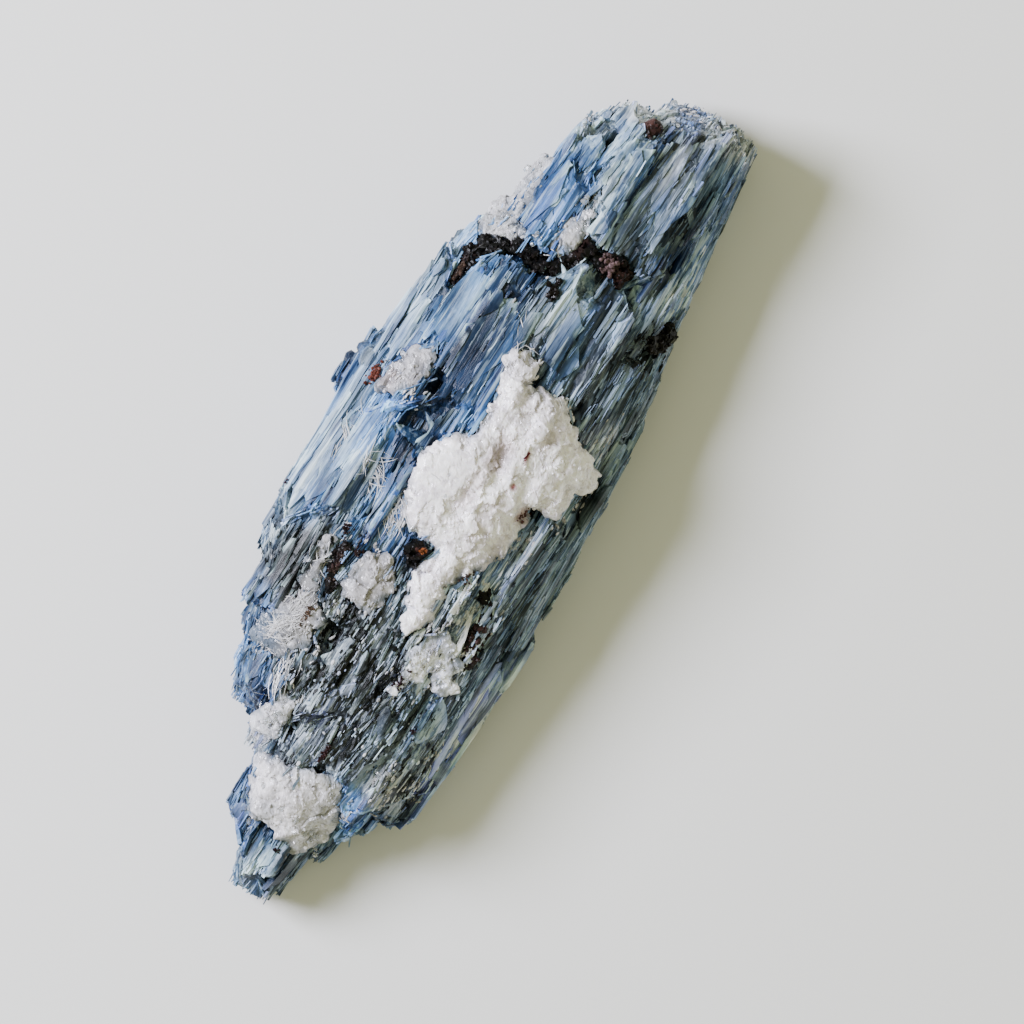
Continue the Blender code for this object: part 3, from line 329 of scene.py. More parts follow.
class KyaniteSettings(bpy.types.PropertyGroup):
    """Sizes and counts of what is laid on the sheaf."""

    flake_count: count_setting("Flakes", "Broad cleavage flakes laid on the sheaf", 1700)
    flake_length: length_setting("Flake length", "Middle length of a flake", 15)
    flake_width: length_setting("Flake width", "Middle width of a flake", 2.7)
    rib_count: count_setting("Ribs", "Broad laths laid on the sheaf", 700)
    rib_length: length_setting("Rib length", "Middle length of a rib", 17)
    rib_width: length_setting("Rib width", "Middle width of a rib", 1.6)
    bundle_count: count_setting("Bundles", "Bundles of fibres laid on the sheaf", 4200)
    bundle_length: length_setting("Bundle length", "Middle length of a bundle", 6.0)
    bundle_width: length_setting("Bundle width", "Middle width of a bundle", 0.8)
    splinter_count: count_setting("Splinters", "Pale frayed splinters", 11000)
    splinter_length: length_setting("Splinter length", "Middle length of a splinter", 2.8)
    splinter_width: length_setting("Splinter width", "Middle width of a splinter", 0.16)
    fringe_count: count_setting("Fringe", "Points tried for laths that lap over the other minerals", 7000)
    crumb_count: count_setting("Crumbs", "Small grains between the laths", 12000)
    crumb_size: length_setting("Crumb", "Middle size of a crumb", 0.36)
    ground_voxel: length_setting("Ground detail", "Grid of the sheaf's own surface", 0.6)


class MineralSettings(bpy.types.PropertyGroup):
    """Sizes and colours of the quartz and the garnet."""

    grain_size: length_setting("Quartz grain", "Middle size of a quartz grain", 0.42)
    quartz_colour: colour_setting("Quartz", "Colour of the white quartz", (0.955, 0.94, 0.965))
    sugar_count: count_setting("Loose grains", "White grains strewn over the blades", 2900)
    clear_count: count_setting("Clear grains", "Clear grains of quartz at its borders", 800)
    crust_size: length_setting("Garnet grain", "Middle size of a garnet grain", 0.45)
    mica_count: count_setting("Dark flakes", "Dark flakes between the blades", 1800)


class StageSettings(bpy.types.PropertyGroup):
    """The floor and the camera."""

    floor_colour: colour_setting("Floor", "Colour of the floor", (0.80, 0.80, 0.79))
    camera_height: length_setting("Camera height", "Height of the camera over the floor", 2000)
    view_width: length_setting("View width", "Width of the view at the cluster", 163.84)


# ---- numbers and surfaces ---------------------------------------------------


def linear(code):
    """An sRGB colour code as linear values."""
    values = np.array([int(code[i:i + 2], 16) / 255 for i in (0, 2, 4)])
    return np.where(values <= 0.04045, values / 12.92, ((values + 0.055) / 1.055) ** 2.4)


def tone_of(code):
    """The blade colour that shows as an sRGB colour code on a face turned up."""
    values = linear(code)
    return np.minimum(values / (1 - SHOULDER * np.minimum(values, 0.8) ** 2) / LIGHT, MOST_TONE)


def hashed(cells, seed):
    """Four numbers from 0 to 1 for each row of whole numbers, always the same ones."""
    mixed = cells.astype(np.int64) * np.array([73856093, 19349663, 83492791])
    state = (mixed[:, 0] ^ mixed[:, 1] ^ mixed[:, 2]) + seed * 2654435761
    found = []
    for _ in range(4):
        state = (state ^ (state >> 15)) * 2246822519 & 0xFFFFFFFF
        state = (state ^ (state >> 13)) * 3266489917 & 0xFFFFFFFF
        found.append(((state ^ (state >> 16)) & 0xFFFFFF) / 0xFFFFFF)
    return np.stack(found, axis=1)


def cells_at(points, seed):
    """For each point of a unit grid of jittered seeds: the nearest seed's numbers, the way to it, its lead."""
    base = np.floor(points)
    nearest = np.full(len(points), np.inf)
    second = nearest.copy()
    numbers = np.zeros((len(points), 4))
    way = np.zeros_like(points)
    for offset in itertools.product((-1, 0, 1), repeat=3):
        cell = base + offset
        found = hashed(cell, seed)
        step = cell + found[:, :3] - points
        distance = (step ** 2).sum(axis=1)
        closer = distance < nearest
        second = np.where(closer, nearest, np.minimum(second, distance))
        numbers[closer], way[closer] = found[closer], step[closer]
        nearest = np.minimum(nearest, distance)
    return numbers, way, np.sqrt(second) - np.sqrt(nearest)


def smooth(points, seed):
    """Even noise from 0 to 1 on a unit grid."""
    base = np.floor(points)
    part = points - base
    part = part * part * (3 - 2 * part)
    total = np.zeros(len(points))
    for offset in itertools.product((0, 1), repeat=3):
        share = np.prod(np.where(offset, part, 1 - part), axis=1)
        total += share * hashed(base + offset, seed)[:, 0]
    return total


def uneven(points, size, amount, seed):
    """A small shift for each point, even over a short way, that makes straight edges irregular."""
    return (np.stack([smooth(points / size, seed + k) for k in range(3)], axis=1) - 0.5) * amount


def oval(points, cx, cy, rx, ry, power):
    """1 in the middle of a soft ellipse in millimetres, and 0 far from it."""
    x, y = points[:, 0] / MM, points[:, 1] / MM
    return np.exp(-(((x - cx) / rx) ** power + ((y - cy) / ry) ** power))


def spots(points, table):
    """How far each point lies inside the soft ellipses of a table, from 0 to 1 on the upper side."""
    total = np.zeros(len(points))
    for *place, strength in table:
        total = np.maximum(total, strength * oval(points, *place, 4))
    return total * np.clip((points[:, 2] / MM - 5) / 6, 0, 1)


def towards(tones, colour, share):
    """Colours drawn by a share towards another one."""
    return tones + (colour - tones) * share


def found_below(surface, x, y):
    """The place and normal of a surface under a point given in millimetres."""
    return surface.tree.ray_cast(Vector((x * MM, y * MM, ABOVE_ALL)), DOWN)[:2]


def mesh_arrays(mesh):
    """A mesh's points, triangles and point normals as arrays."""
    mesh.calc_loop_triangles()
    points = np.empty(len(mesh.vertices) * 3)
    mesh.vertices.foreach_get("co", points)
    triangles = np.empty(len(mesh.loop_triangles) * 3, dtype=np.int32)
    mesh.loop_triangles.foreach_get("vertices", triangles)
    normals = np.empty(len(mesh.vertices) * 3)
    mesh.vertices.foreach_get("normal", normals)
    return points.reshape(-1, 3), triangles.reshape(-1, 3), normals.reshape(-1, 3)


def meshes_of(*nodes):
    return [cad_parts[node].data for node in nodes]


class Surface:
    """Triangles that points are drawn from, with a tree that finds the nearest point."""

    def __init__(self, meshes):
        points, triangles, count = [], [], 0
        for mesh in meshes:
            own, faces, _ = mesh_arrays(mesh)
            points.append(own)
            triangles.append(faces + count)
            count += len(own)
        self.points, self.triangles = np.concatenate(points), np.concatenate(triangles)
        a, b, c = (self.points[self.triangles[:, i]] for i in range(3))
        cross = np.cross(b - a, c - a)
        self.areas = np.linalg.norm(cross, axis=1) / 2
        self.normals = cross / np.maximum(np.linalg.norm(cross, axis=1), 1e-20)[:, None]
        self.tree = BVHTree.FromPolygons(self.points.tolist(), self.triangles.tolist())

    def draw(self, count, rng, weights=None):
        """Random points spread over the triangles, with their normals."""
        chance = self.areas if weights is None else self.areas * weights
        chosen = rng.choice(len(self.areas), size=count, p=chance / chance.sum())
        u, v = rng.random(count), rng.random(count)
        over = u + v > 1
        u[over], v[over] = 1 - u[over], 1 - v[over]
        a, b, c = (self.points[self.triangles[chosen, i]] for i in range(3))
        return a + (b - a) * u[:, None] + (c - a) * v[:, None], self.normals[chosen]


# ---- colours of the blades --------------------------------------------------


def zone_weights(points, normals):
    """How much each palette counts at each point, one column for each palette."""
    names = list(PALETTES)
    weights = np.full((len(points), len(names)), 0.01)
    above = np.clip((points[:, 2] / MM - 4) / 7, 0, 1) * np.clip(normals[:, 2] * 2 + 1.2, 0.1, 1)
    for name, places in ZONES.items():
        for *place, strength in places:
            weights[:, names.index(name)] += strength * oval(points, *place, 2) * above
    # Side faces turned from the window, towards -Y, lean to the greyer slate, moss and steel palettes, and those
    # turned towards it, towards +Y, to the frost, sky, steel and royal ones; undersides count half for both. This
    # is painted shade and painted light by side.
    right = np.clip(-normals[:, 1], 0, 1) + np.clip(-normals[:, 2], 0, 1) * 0.5
    left = np.clip(normals[:, 1], 0, 1) + np.clip(-normals[:, 2], 0, 1) * 0.5
    beside = 0.12 + 0.88 * (1 - above)
    for name, side, share in (
        ("slate", right, 0.8), ("moss", right, 0.6), ("steel", right, 0.4),
        ("frost", left, 0.4), ("sky", left, 0.5), ("steel", left, 0.5), ("royal", left, 0.3),
    ):
        weights[:, names.index(name)] += share * side * beside
    return weights ** 1.5


def tones_at(points, normals, own, bias=0.0, spread=1.0):
    """A colour for each point.  Blades share a palette along their length, and own varies their shade."""
    weights = zone_weights(points, normals)
    weights /= weights.sum(axis=1, keepdims=True)
    shares = np.cumsum(weights, axis=1)
    blade = cells_at(points / BLADE, 31)[0]
    patch = smooth(points / PATCH, 32)
    number = (blade[:, :1] * 0.8 + own[:, :1] * 0.2) % 1
    chosen = (shares < number).sum(axis=1).clip(0, len(PALETTES) - 1)
    shades = np.array([[tone_of(code) for code in palette] for palette in PALETTES.values()])
    rough = spots(points, TANGLED)
    alone = (0.35 + 0.35 * rough)[:, None, None]
    mixed = alone * shades[chosen] + (1 - alone) * np.einsum("np,pst->nst", weights, shades)
    flank = np.clip(-normals[:, 1], 0, 1)
    shade = 1.0 * (patch - 0.5) + 0.6 * (blade[:, 1] - 0.5)
    shade = shade + (0.36 + 0.9 * rough + 0.4 * flank) * (own[:, 1] - 0.5)
    shade = np.clip(0.5 + bias + spread * shade, 0, 1)[:, None]
    dark = mixed[:, 0] + (mixed[:, 1] - mixed[:, 0]) * np.clip(shade * 2, 0, 1)
    tone = dark + (mixed[:, 2] - mixed[:, 1]) * np.clip(shade * 2 - 1, 0, 1)
    deep_blue = weights[:, [list(PALETTES).index(name) for name in ("royal", "navy", "sky")]].sum(axis=1)
    dull = 0.5 * np.clip(smooth(points / DULL, 34) * 2.4 - 1.0, 0, 1) * (1 - deep_blue)
    tone = towards(tone, tone.mean(axis=1, keepdims=True) * np.array([0.95, 1.0, 1.02]), dull[:, None])
    tone = towards(tone, tone_of(SEAM_WHITE), (0.8 * spots(points, PALER) * own[:, 1])[:, None])
    # Holes are painted up to 85% darker, painted shade in the hollows; the darker places are darkened by up to
    # 90%.
    dimmed = (1 - 0.85 * spots(points, HOLES)) * (1 - 0.9 * np.minimum(spots(points, DARKER), 1))
    # Faces turned from the window, towards -Y, are made lighter and bluer (up to 1.42, 1.38 and 1.84 times in
    # red, green and blue), to make up for the warm room light that alone falls on them: painted light.
    away = np.clip(-1.4 * normals[:, 1:2], 0, 1)
    return np.minimum(tone * dimmed[:, None] * (1 + away * np.array([0.42, 0.38, 0.84])), MOST_TONE)


def grit_at(points, share=1.0):
    """How granular the blades are: 0 on clean faces, 0.1 on others, up to 1 among crumbs."""
    return np.clip(0.1 - 0.1 * spots(points, CLEAN) + share * spots(points, CRUMBS), 0, 1)


# ---- making meshes ----------------------------------------------------------


def deselect():
    """Leaves edit mode and selects nothing."""
    if bpy.context.object and bpy.context.object.mode != "OBJECT":
        bpy.ops.object.mode_set(mode="OBJECT")
    bpy.ops.object.select_all(action="DESELECT")


def made_active(obj):
    deselect()
    obj.select_set(True)
    bpy.context.view_layer.objects.active = obj


def with_tone(mesh, tones, grit=None):
    """Keeps a colour for each point of a mesh, and how gritty it is there, which its material reads."""
    values = np.ones((len(mesh.vertices), 4), dtype=np.float32)
    values[:, :3] = tones
    mesh.attributes.new("tone", "FLOAT_COLOR", "POINT").data.foreach_set("color", values.ravel())
    if grit is not None:
        mesh.attributes.new("grit", "FLOAT", "POINT").data.foreach_set("value", grit.astype(np.float32))


def joined(name, points, faces, tones, grit=None):
    """One object from arrays of points and triangles."""
    mesh = bpy.data.meshes.new(name)
    mesh.from_pydata(points.tolist(), [], faces.tolist())
    with_tone(mesh, tones, grit)
    obj = bpy.data.objects.new(name, mesh)
    bpy.context.scene.collection.objects.link(obj)
    return obj


def node_copy(node, name, voxel):
    """A merged copy of a node's mesh, remeshed into an even grid that can take relief."""
    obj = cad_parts[node].copy()
    obj.data = obj.data.copy()
    obj.name = obj.data.name = name
    for key in list(obj.keys()):
        del obj[key]
    obj.parent = None
    bpy.context.scene.collection.objects.link(obj)
    made_active(obj)
    bpy.ops.object.mode_set(mode="EDIT")
    bpy.ops.mesh.select_all(action="SELECT")
    bpy.ops.mesh.remove_doubles(threshold=1e-6)
    bpy.ops.object.mode_set(mode="OBJECT")
    grid = obj.modifiers.new("Grid", "REMESH")
    grid.mode, grid.voxel_size = "VOXEL", voxel
    bpy.ops.object.modifier_apply(modifier=grid.name)
    return obj


def grounded(points):
    """Nothing reaches below the floor."""
    points[:, 2] = np.maximum(points[:, 2], 0.0)
    return points


def cut(places):
    """Cuts the mesh in edit mode by planes, and closes it: each plane is a point and the way it looks."""
    for place, normal in places:
        bpy.ops.mesh.select_all(action="SELECT")
        bpy.ops.mesh.bisect(plane_co=place, plane_no=normal, use_fill=True, clear_outer=True)


def sliced(places, axis):
    """Cuts the mesh in edit mode across an axis, so that it can bend there."""
    for place in places:
        bpy.ops.mesh.select_all(action="SELECT")
        bpy.ops.mesh.bisect(plane_co=[place * part for part in axis], plane_no=axis)


def taken(obj):
    """The points and triangles of a shape that is all one strand.  Its object is removed."""
    points, faces, _ = mesh_arrays(obj.data)
    bpy.data.objects.remove(obj)
    return points, faces, np.zeros(len(points), dtype=int)


def shaped(add, work, **values):
    """The object that an operator adds, worked on in edit mode."""
    deselect()
    add(**values)
    bpy.ops.object.transform_apply(location=True, rotation=True)
    bpy.ops.object.mode_set(mode="EDIT")
    work()
    bpy.ops.object.mode_set(mode="OBJECT")
    return bpy.context.object


def strands_of(points, faces):
    """A number for each point: which of the separate strands of a pattern it belongs to."""
    group = np.arange(len(points))
    for _ in range(len(points)):
        lowest = group[faces].min(axis=1)
        before = group.copy()
        for column in range(3):
            np.minimum.at(group, faces[:, column], lowest)
        if (before == group).all():
            break
    return np.unique(group, return_inverse=True)[1]


def pattern(strands, joints=()):
    """A pattern of strands lying along X within a unit box, its outer face at Z = 0.

    Each strand is its number of sides, ends along X, middle and width across, top, and how its ends are cut.
    Joints are places along X where it can bend.
    """
    made = []
    for sides, start, end, middle, width, top, slant, slope in strands:
        run = end - start
        deselect()
        if sides == 4:
            bpy.ops.mesh.primitive_cube_add(size=1)
            bpy.context.object.scale = (run, width, 0.9)
            bpy.context.object.location = ((start + end) / 2, middle, top - 0.45)
        else:
            bpy.ops.mesh.primitive_cylinder_add(vertices=3, radius=1, depth=1, rotation=(0, math.pi / 2, 0))
            bpy.ops.object.transform_apply(rotation=True)
            bpy.context.object.scale = (run, width / 1.73, 0.62)
            bpy.context.object.location = ((start + end) / 2, middle, top - 0.62)
        bpy.ops.object.transform_apply(location=True, rotation=True, scale=True)
        bpy.ops.object.mode_set(mode="EDIT")
        inset = abs(slant) * width / 2
        cut([((end - inset - 0.02 * run, middle, 0), (1, slant, slope)),
             ((start + inset + 0.02 * run, middle, 0), (-1, slant * 0.7, slope * 1.3))])
        sliced(joints, (1, 0, 0))
        bpy.ops.object.mode_set(mode="OBJECT")
        made.append(bpy.context.object)
    deselect()
    for obj in made:
        obj.select_set(True)
    bpy.context.view_layer.objects.active = made[0]
    if len(made) > 1:
        bpy.ops.object.join()
    points, faces, _ = taken(bpy.context.object)
    return points, faces, strands_of(points, faces)


def flake(corners):
    """A plate of unit length and width with chipped corners, cut both ways so that it can bend and fray."""
    def work():
        cut([((x, y, 0), (way, slant, 0)) for x, y, way, slant in corners])
        sliced(np.linspace(-0.46, 0.46, 12), (1, 0, 0))
        sliced((-0.3, 0, 0.3), (0, 1, 0))

    return taken(shaped(bpy.ops.mesh.primitive_cube_add, work, size=1, location=(0, 0, -0.5)))


def hair():
    """A thin three-sided thread of unit length, bent in an arc and pointed at both ends."""
    obj = shaped(
        bpy.ops.mesh.primitive_cylinder_add, lambda: sliced((-0.35, -0.18, 0, 0.18, 0.35), (1, 0, 0)),
        vertices=3, radius=0.013, depth=1, rotation=(0, math.pi / 2, 0),
    )
    for vertex in obj.data.vertices:
        x = vertex.co.x
        narrowed = 1 - 0.75 * (abs(x) * 2) ** 3
        vertex.co.y = vertex.co.y * narrowed + 0.55 * x * x - 0.07
        vertex.co.z = vertex.co.z * narrowed - 0.12 * x * x
    return taken(obj)


def crystal(cuts, seed):
    """A faceted grain about one unit across: a ball of few faces, cut flat by planes near its rim."""
    rng = random.Random(seed)

    def work():
        for _ in range(cuts):
            normal = Vector([rng.gauss(0, 1) for _ in range(3)]).normalized()
            cut([(normal * rng.uniform(0.26, 0.44), normal)])

    return taken(shaped(bpy.ops.mesh.primitive_ico_sphere_add, work, subdivisions=1, radius=0.58))


def crystals(number, cuts, seed):
    """Some grains, each cut its own way."""
    return [crystal(cuts, seed + k) for k in range(number)]


def slivers_at(points, normals, sizes, depth, rng):
    """Places for thin grains drawn out along the blades."""
    places = []
    for point, normal, size in zip(points, normals, np.minimum(sizes, 2.2 * np.median(sizes))):
        axis, outward = Vector((1, rng.normal(0, 0.35), 0)), Vector(normal)
        if abs(outward.x) > 0.8:
            axis = Vector((0, 1, rng.normal(0, 0.5)))
        axis = axis - outward * axis.dot(outward)
        shape = (size * rng.uniform(1.3, 3.0), size * rng.uniform(0.6, 1.1), size * 0.7)
        roll = rng.normal(0, 0.5)
        places.append(placed(axis, outward, shape, roll, point + normal * rng.uniform(*depth) * size))
    return np.array(places)


def grains_at(points, normals, sizes, depth, rng):
    """Places for grains half set into a surface, each turned its own way."""
    places = np.tile(np.eye(4), (len(points), 1, 1))
    for k, size in enumerate(np.minimum(sizes, 2.2 * np.median(sizes))):
        turn = Matrix.Rotation(rng.uniform(0, 6.28), 3, Vector(rng.normal(size=3)).normalized())
        places[k, :3, :3] = np.array(turn) * (size * rng.uniform(0.7, 1.25, 3))[None]
        places[k, :3, 3] = points[k] + normals[k] * rng.uniform(*depth) * size
    return places


def swell(points):
    """How far the quartz swells up at each point."""
    total = np.zeros(len(points))
    for *place, height in SWELLS:
        total += height * MM * oval(points, *place, 2)
    return total


def lowered(points, rise):
    """Points moved up by their rise, but pressed together above the top."""
    points[:, 2] += rise
    over = np.maximum(points[:, 2] - TOP, 0)
    points[:, 2] -= 0.7 * over
    return points


def quartz_tones(points):
    """White quartz with greyer and pinker parts, and the stains on it."""
    cloud = smooth(points / (3.5 * MM), 90)[:, None]
    fleck = smooth(points / (0.9 * MM), 91)[:, None]
    tone = np.array([0.82, 0.82, 0.83]) + cloud * np.array([0.18, 0.165, 0.16]) + (fleck - 0.5) * 0.18
    for code, *place in STAINS:
        tone = towards(tone, linear(code), spots(points, (place,))[:, None])
    return np.clip(tone, 0.02, 1)


def copies(patterns, places, rng):
    """Copies of the patterns, one at each 4 x 4 matrix of places.

    Gives points and faces, and for each point its place, its strand and how far along the pattern it lies.
    """
    kinds = rng.integers(len(patterns), size=len(places))
    points, faces, owners, strands, along, count = [], [], [], [], [], 0
    for kind, (shape, triangles, threads) in enumerate(patterns):
        own = np.flatnonzero(kinds == kind)
        if not len(own):
            continue
        moved = np.einsum("nij,vj->nvi", places[own, :3, :3], shape) + places[own, None, :3, 3]
        starts = np.arange(len(own)) * len(shape) + count
        points.append(moved.reshape(-1, 3))
        faces.append((triangles[None] + starts[:, None, None]).reshape(-1, 3))
        owners.append(np.repeat(own, len(shape)))
        strands.append(np.tile(threads, len(own)))
        along.append(np.tile(shape[:, 0], len(own)))
        count += len(own) * len(shape)
    return tuple(np.concatenate(part) for part in (points, faces, owners, strands, along))


def turned(axis, outward, size, roll):
    """A matrix that lays a unit shape along axis with its outer face towards outward, as size gives it."""
    along = axis.normalized()
    across = outward.cross(along).normalized()
    across = Matrix.Rotation(roll, 3, along) @ across
    up = along.cross(across)
    return np.array([[along[i] * size[0], across[i] * size[1], up[i] * size[2]] for i in range(3)])


def placed(axis, outward, size, roll, middle):
    """The 4 x 4 matrix that lays a unit shape so, with its middle at a place."""
    matrix = np.eye(4)
    matrix[:3, :3] = turned(axis, outward, size, roll)
    matrix[:3, 3] = middle
    return matrix


def draped(vertices, places, depths, normals, points, ground):
    """Pulls flat plates down onto the sheaf: each vertex moves with the nearest point under its plate's face."""
    faces_at = vertices - places[:, :3, 2] * depths[:, None]
    stand = ((faces_at - points) * normals).sum(axis=1, keepdims=True)
    near = np.array([ground.surface.tree.find_nearest(Vector(point))[0] for point in faces_at])
    pull = near - faces_at
    gap = np.linalg.norm(pull, axis=1, keepdims=True)
    hug = 1 - np.minimum(0.35, 0.4 * MM / np.maximum(gap, 1e-9))
    return vertices + hug * (pull + normals * np.clip(stand, -0.2 * MM, 0.6 * MM))


class Ground:
    """Where laths may lie: on the sheaf, clear of the other minerals and of holes."""

    def __init__(self, *more):
        self.surface = Surface(meshes_of(SHEAF, *more))
        self.cover = Surface(meshes_of(*QUARTZ_NODES, *GARNET_NODES))

    def is_clear(self, point, gap, reach=0.7 * MM):
        """Whether a lath may lie at a point: near the sheaf, out of holes and away from the other minerals.

        Without a gap it may lap over them.
        """
        if gap is None:
            return self.surface.tree.find_nearest(point)[3] < 1.1 * MM
        if self.surface.tree.find_nearest(point)[3] > reach:
            return False
        if self.cover.tree.find_nearest(point)[3] < gap:
            return False
        x, y = point.x / MM, point.y / MM
        if any(abs(x - cx) < rx and abs(y - cy) < 0.8 * ry and deep > 0.75 for cx, cy, rx, ry, deep in HOLES):
            return False
        return not self.cover.tree.ray_cast(point, UP, 8 * MM)[0]

    def reach_along(self, point, axis, run, gap):
        """How far a lath may reach from a point along an axis."""
        steps = max(2, int(run / (1.5 * MM)))
        for step in range(1, steps + 1):
            if not self.is_clear(point + axis * (run * step / steps), gap):
                return run * (step - 1) / steps
        return run

    def lay(self, count, size, height, rng, chance, gap):
        """Places for laths along X, with the points and normals they lie on: both ends of each rest near them."""
        length, width, thickness = size
        points, normals = self.surface.draw(count, rng)
        wanted = rng.random(count) < chance(points)
        rough = spots(points, TANGLED)
        places, kept = [], []
        for k in np.flatnonzero(wanted):
            point, normal = Vector(points[k]), Vector(normals[k])
            factor = math.exp(np.clip(rng.normal(0, 0.4), -1, 0.9))
            run = length * factor * (1 - 0.5 * rough[k])
            wide = width * math.exp(np.clip(rng.normal(0, 0.35), -0.8, 0.8)) * factor ** 0.5
            if normal.z < -0.9 and point.z < 0.6 * MM or not self.is_clear(point + normal * 0.1 * MM, gap):
                continue
            stand = rng.uniform(*height)
            if abs(normal.x) > 0.8:
                axis = Vector((math.copysign(1, normal.x), rng.normal(0, 0.1), rng.normal(0, 0.1))).normalized()
                outward = Vector((0, rng.normal(), rng.normal())).normalized()
                run, wide = min(run, 4 * MM), min(wide, 0.9 * MM)
                middle = point + axis * (abs(stand) * 0.4 - run / 2)
                place = placed(axis, outward, (run, wide, thickness), 0, middle)
            else:
                place = self.lath_along(point, normal, (run, wide, thickness), stand, rng, rough[k], gap)
            if place is not None:
                places.append(place)
                kept.append(k)
        return np.array(places), points[kept], normals[kept]

    def lath_along(self, point, normal, size, stand, rng, rough, gap):
        """The place of a lath that lies on the blades, or nothing if it would be cut too short."""
        run, wide, thickness = size
        swing = noise.noise(point / (22 * MM)) * 0.14 + rng.normal(0, 0.03 + 0.10 * rough)
        axis = Vector((math.cos(swing), math.sin(swing), rng.normal(0, 0.02)))
        axis = (axis - normal * axis.dot(normal) * 0.95).normalized()
        share = rng.uniform(0.35, 0.65)
        ahead = self.reach_along(point, axis, run * share, gap)
        behind = self.reach_along(point, -axis, run * (1 - share), gap)
        if ahead + behind < 0.25 * run:
            return None
        ends = [point + axis * ahead, point - axis * behind]
        ends = [end.lerp(self.surface.tree.find_nearest(end)[0], 0.7) for end in ends]
        along, middle = ends[0] - ends[1], (ends[0] + ends[1]) / 2 + normal * stand
        return placed(along, normal, (along.length, wide, thickness), rng.normal(0, 0.2), middle)


# ---- materials --------------------------------------------------------------


class Finish:
    """A material with its shader and its Object coordinates, and short ways to add nodes to it."""

    def __init__(self, name):
        self.material = bpy.data.materials.new(name)
        self.material.use_nodes = True
        self.tree = self.material.node_tree
        self.shader = self.tree.nodes["Principled BSDF"]
        self.coordinates = self.node("ShaderNodeTexCoord").outputs["Object"]

    def feed(self, node, inputs):
        """Sets a node's inputs: each is a value, or another node's output that is linked to it."""
        for key, value in inputs.items():
            if isinstance(value, bpy.types.NodeSocket):
                self.tree.links.new(value, node.inputs[key])
            else:
                node.inputs[key].default_value = value

    def shade(self, **inputs):
        """Sets the shader's inputs, whose names have _ for each space."""
        self.feed(self.shader, {key.replace("_", " "): value for key, value in inputs.items()})

    def node(self, kind, inputs=None, **values):
        made = self.tree.nodes.new(kind)
        for key, value in values.items():
            setattr(made, key, value)
        self.feed(made, inputs or {})
        return made

    def noise(self, scale, detail=3.0, roughness=0.6, stretch=(1, 1, 1), distortion=0.0):
        """Noise on the piece's own coordinates, drawn out by stretch."""
        inputs = {"Scale": [scale / part for part in stretch], "Vector": self.coordinates}
        place = self.node("ShaderNodeMapping", inputs).outputs["Vector"]
        inputs = {"Scale": 1, "Detail": detail, "Roughness": roughness, "Distortion": distortion, "Vector": place}
        return self.node("ShaderNodeTexNoise", inputs).outputs["Fac"]

    def range(self, value, low, high, to_low, to_high):
        inputs = {"Value": value, "From Min": low, "From Max": high, "To Min": to_low, "To Max": to_high}
        return self.node("ShaderNodeMapRange", inputs).outputs["Result"]

    def mix(self, blend, factor, a, b):
        """Mixes two colours.  The factor and either colour may be a value or another node's output."""
        return self.node("ShaderNodeMix", {0: factor, 6: a, 7: b}, data_type="RGBA", blend_type=blend).outputs[2]

    def times(self, a, b):
        return self.node("ShaderNodeMath", {0: a, 1: b}, operation="MULTIPLY").outputs[0]

    def cells(self, scale):
        """Grains of the given number to a metre: how far each place is from a grain's middle, and its colour."""
        made = self.node("ShaderNodeTexVoronoi", {"Scale": scale, "Vector": self.coordinates})
        return made.outputs["Distance"], made.outputs["Color"]

    def kept(self, name, output):
        """What is kept for each point of the mesh under a name."""
        return self.node("ShaderNodeAttribute", attribute_name=name).outputs[output]

    def bump(self, height, strength, distance):
        inputs = {"Height": height, "Strength": strength, "Distance": distance}
        self.shade(Normal=self.node("ShaderNodeBump", inputs).outputs["Normal"])


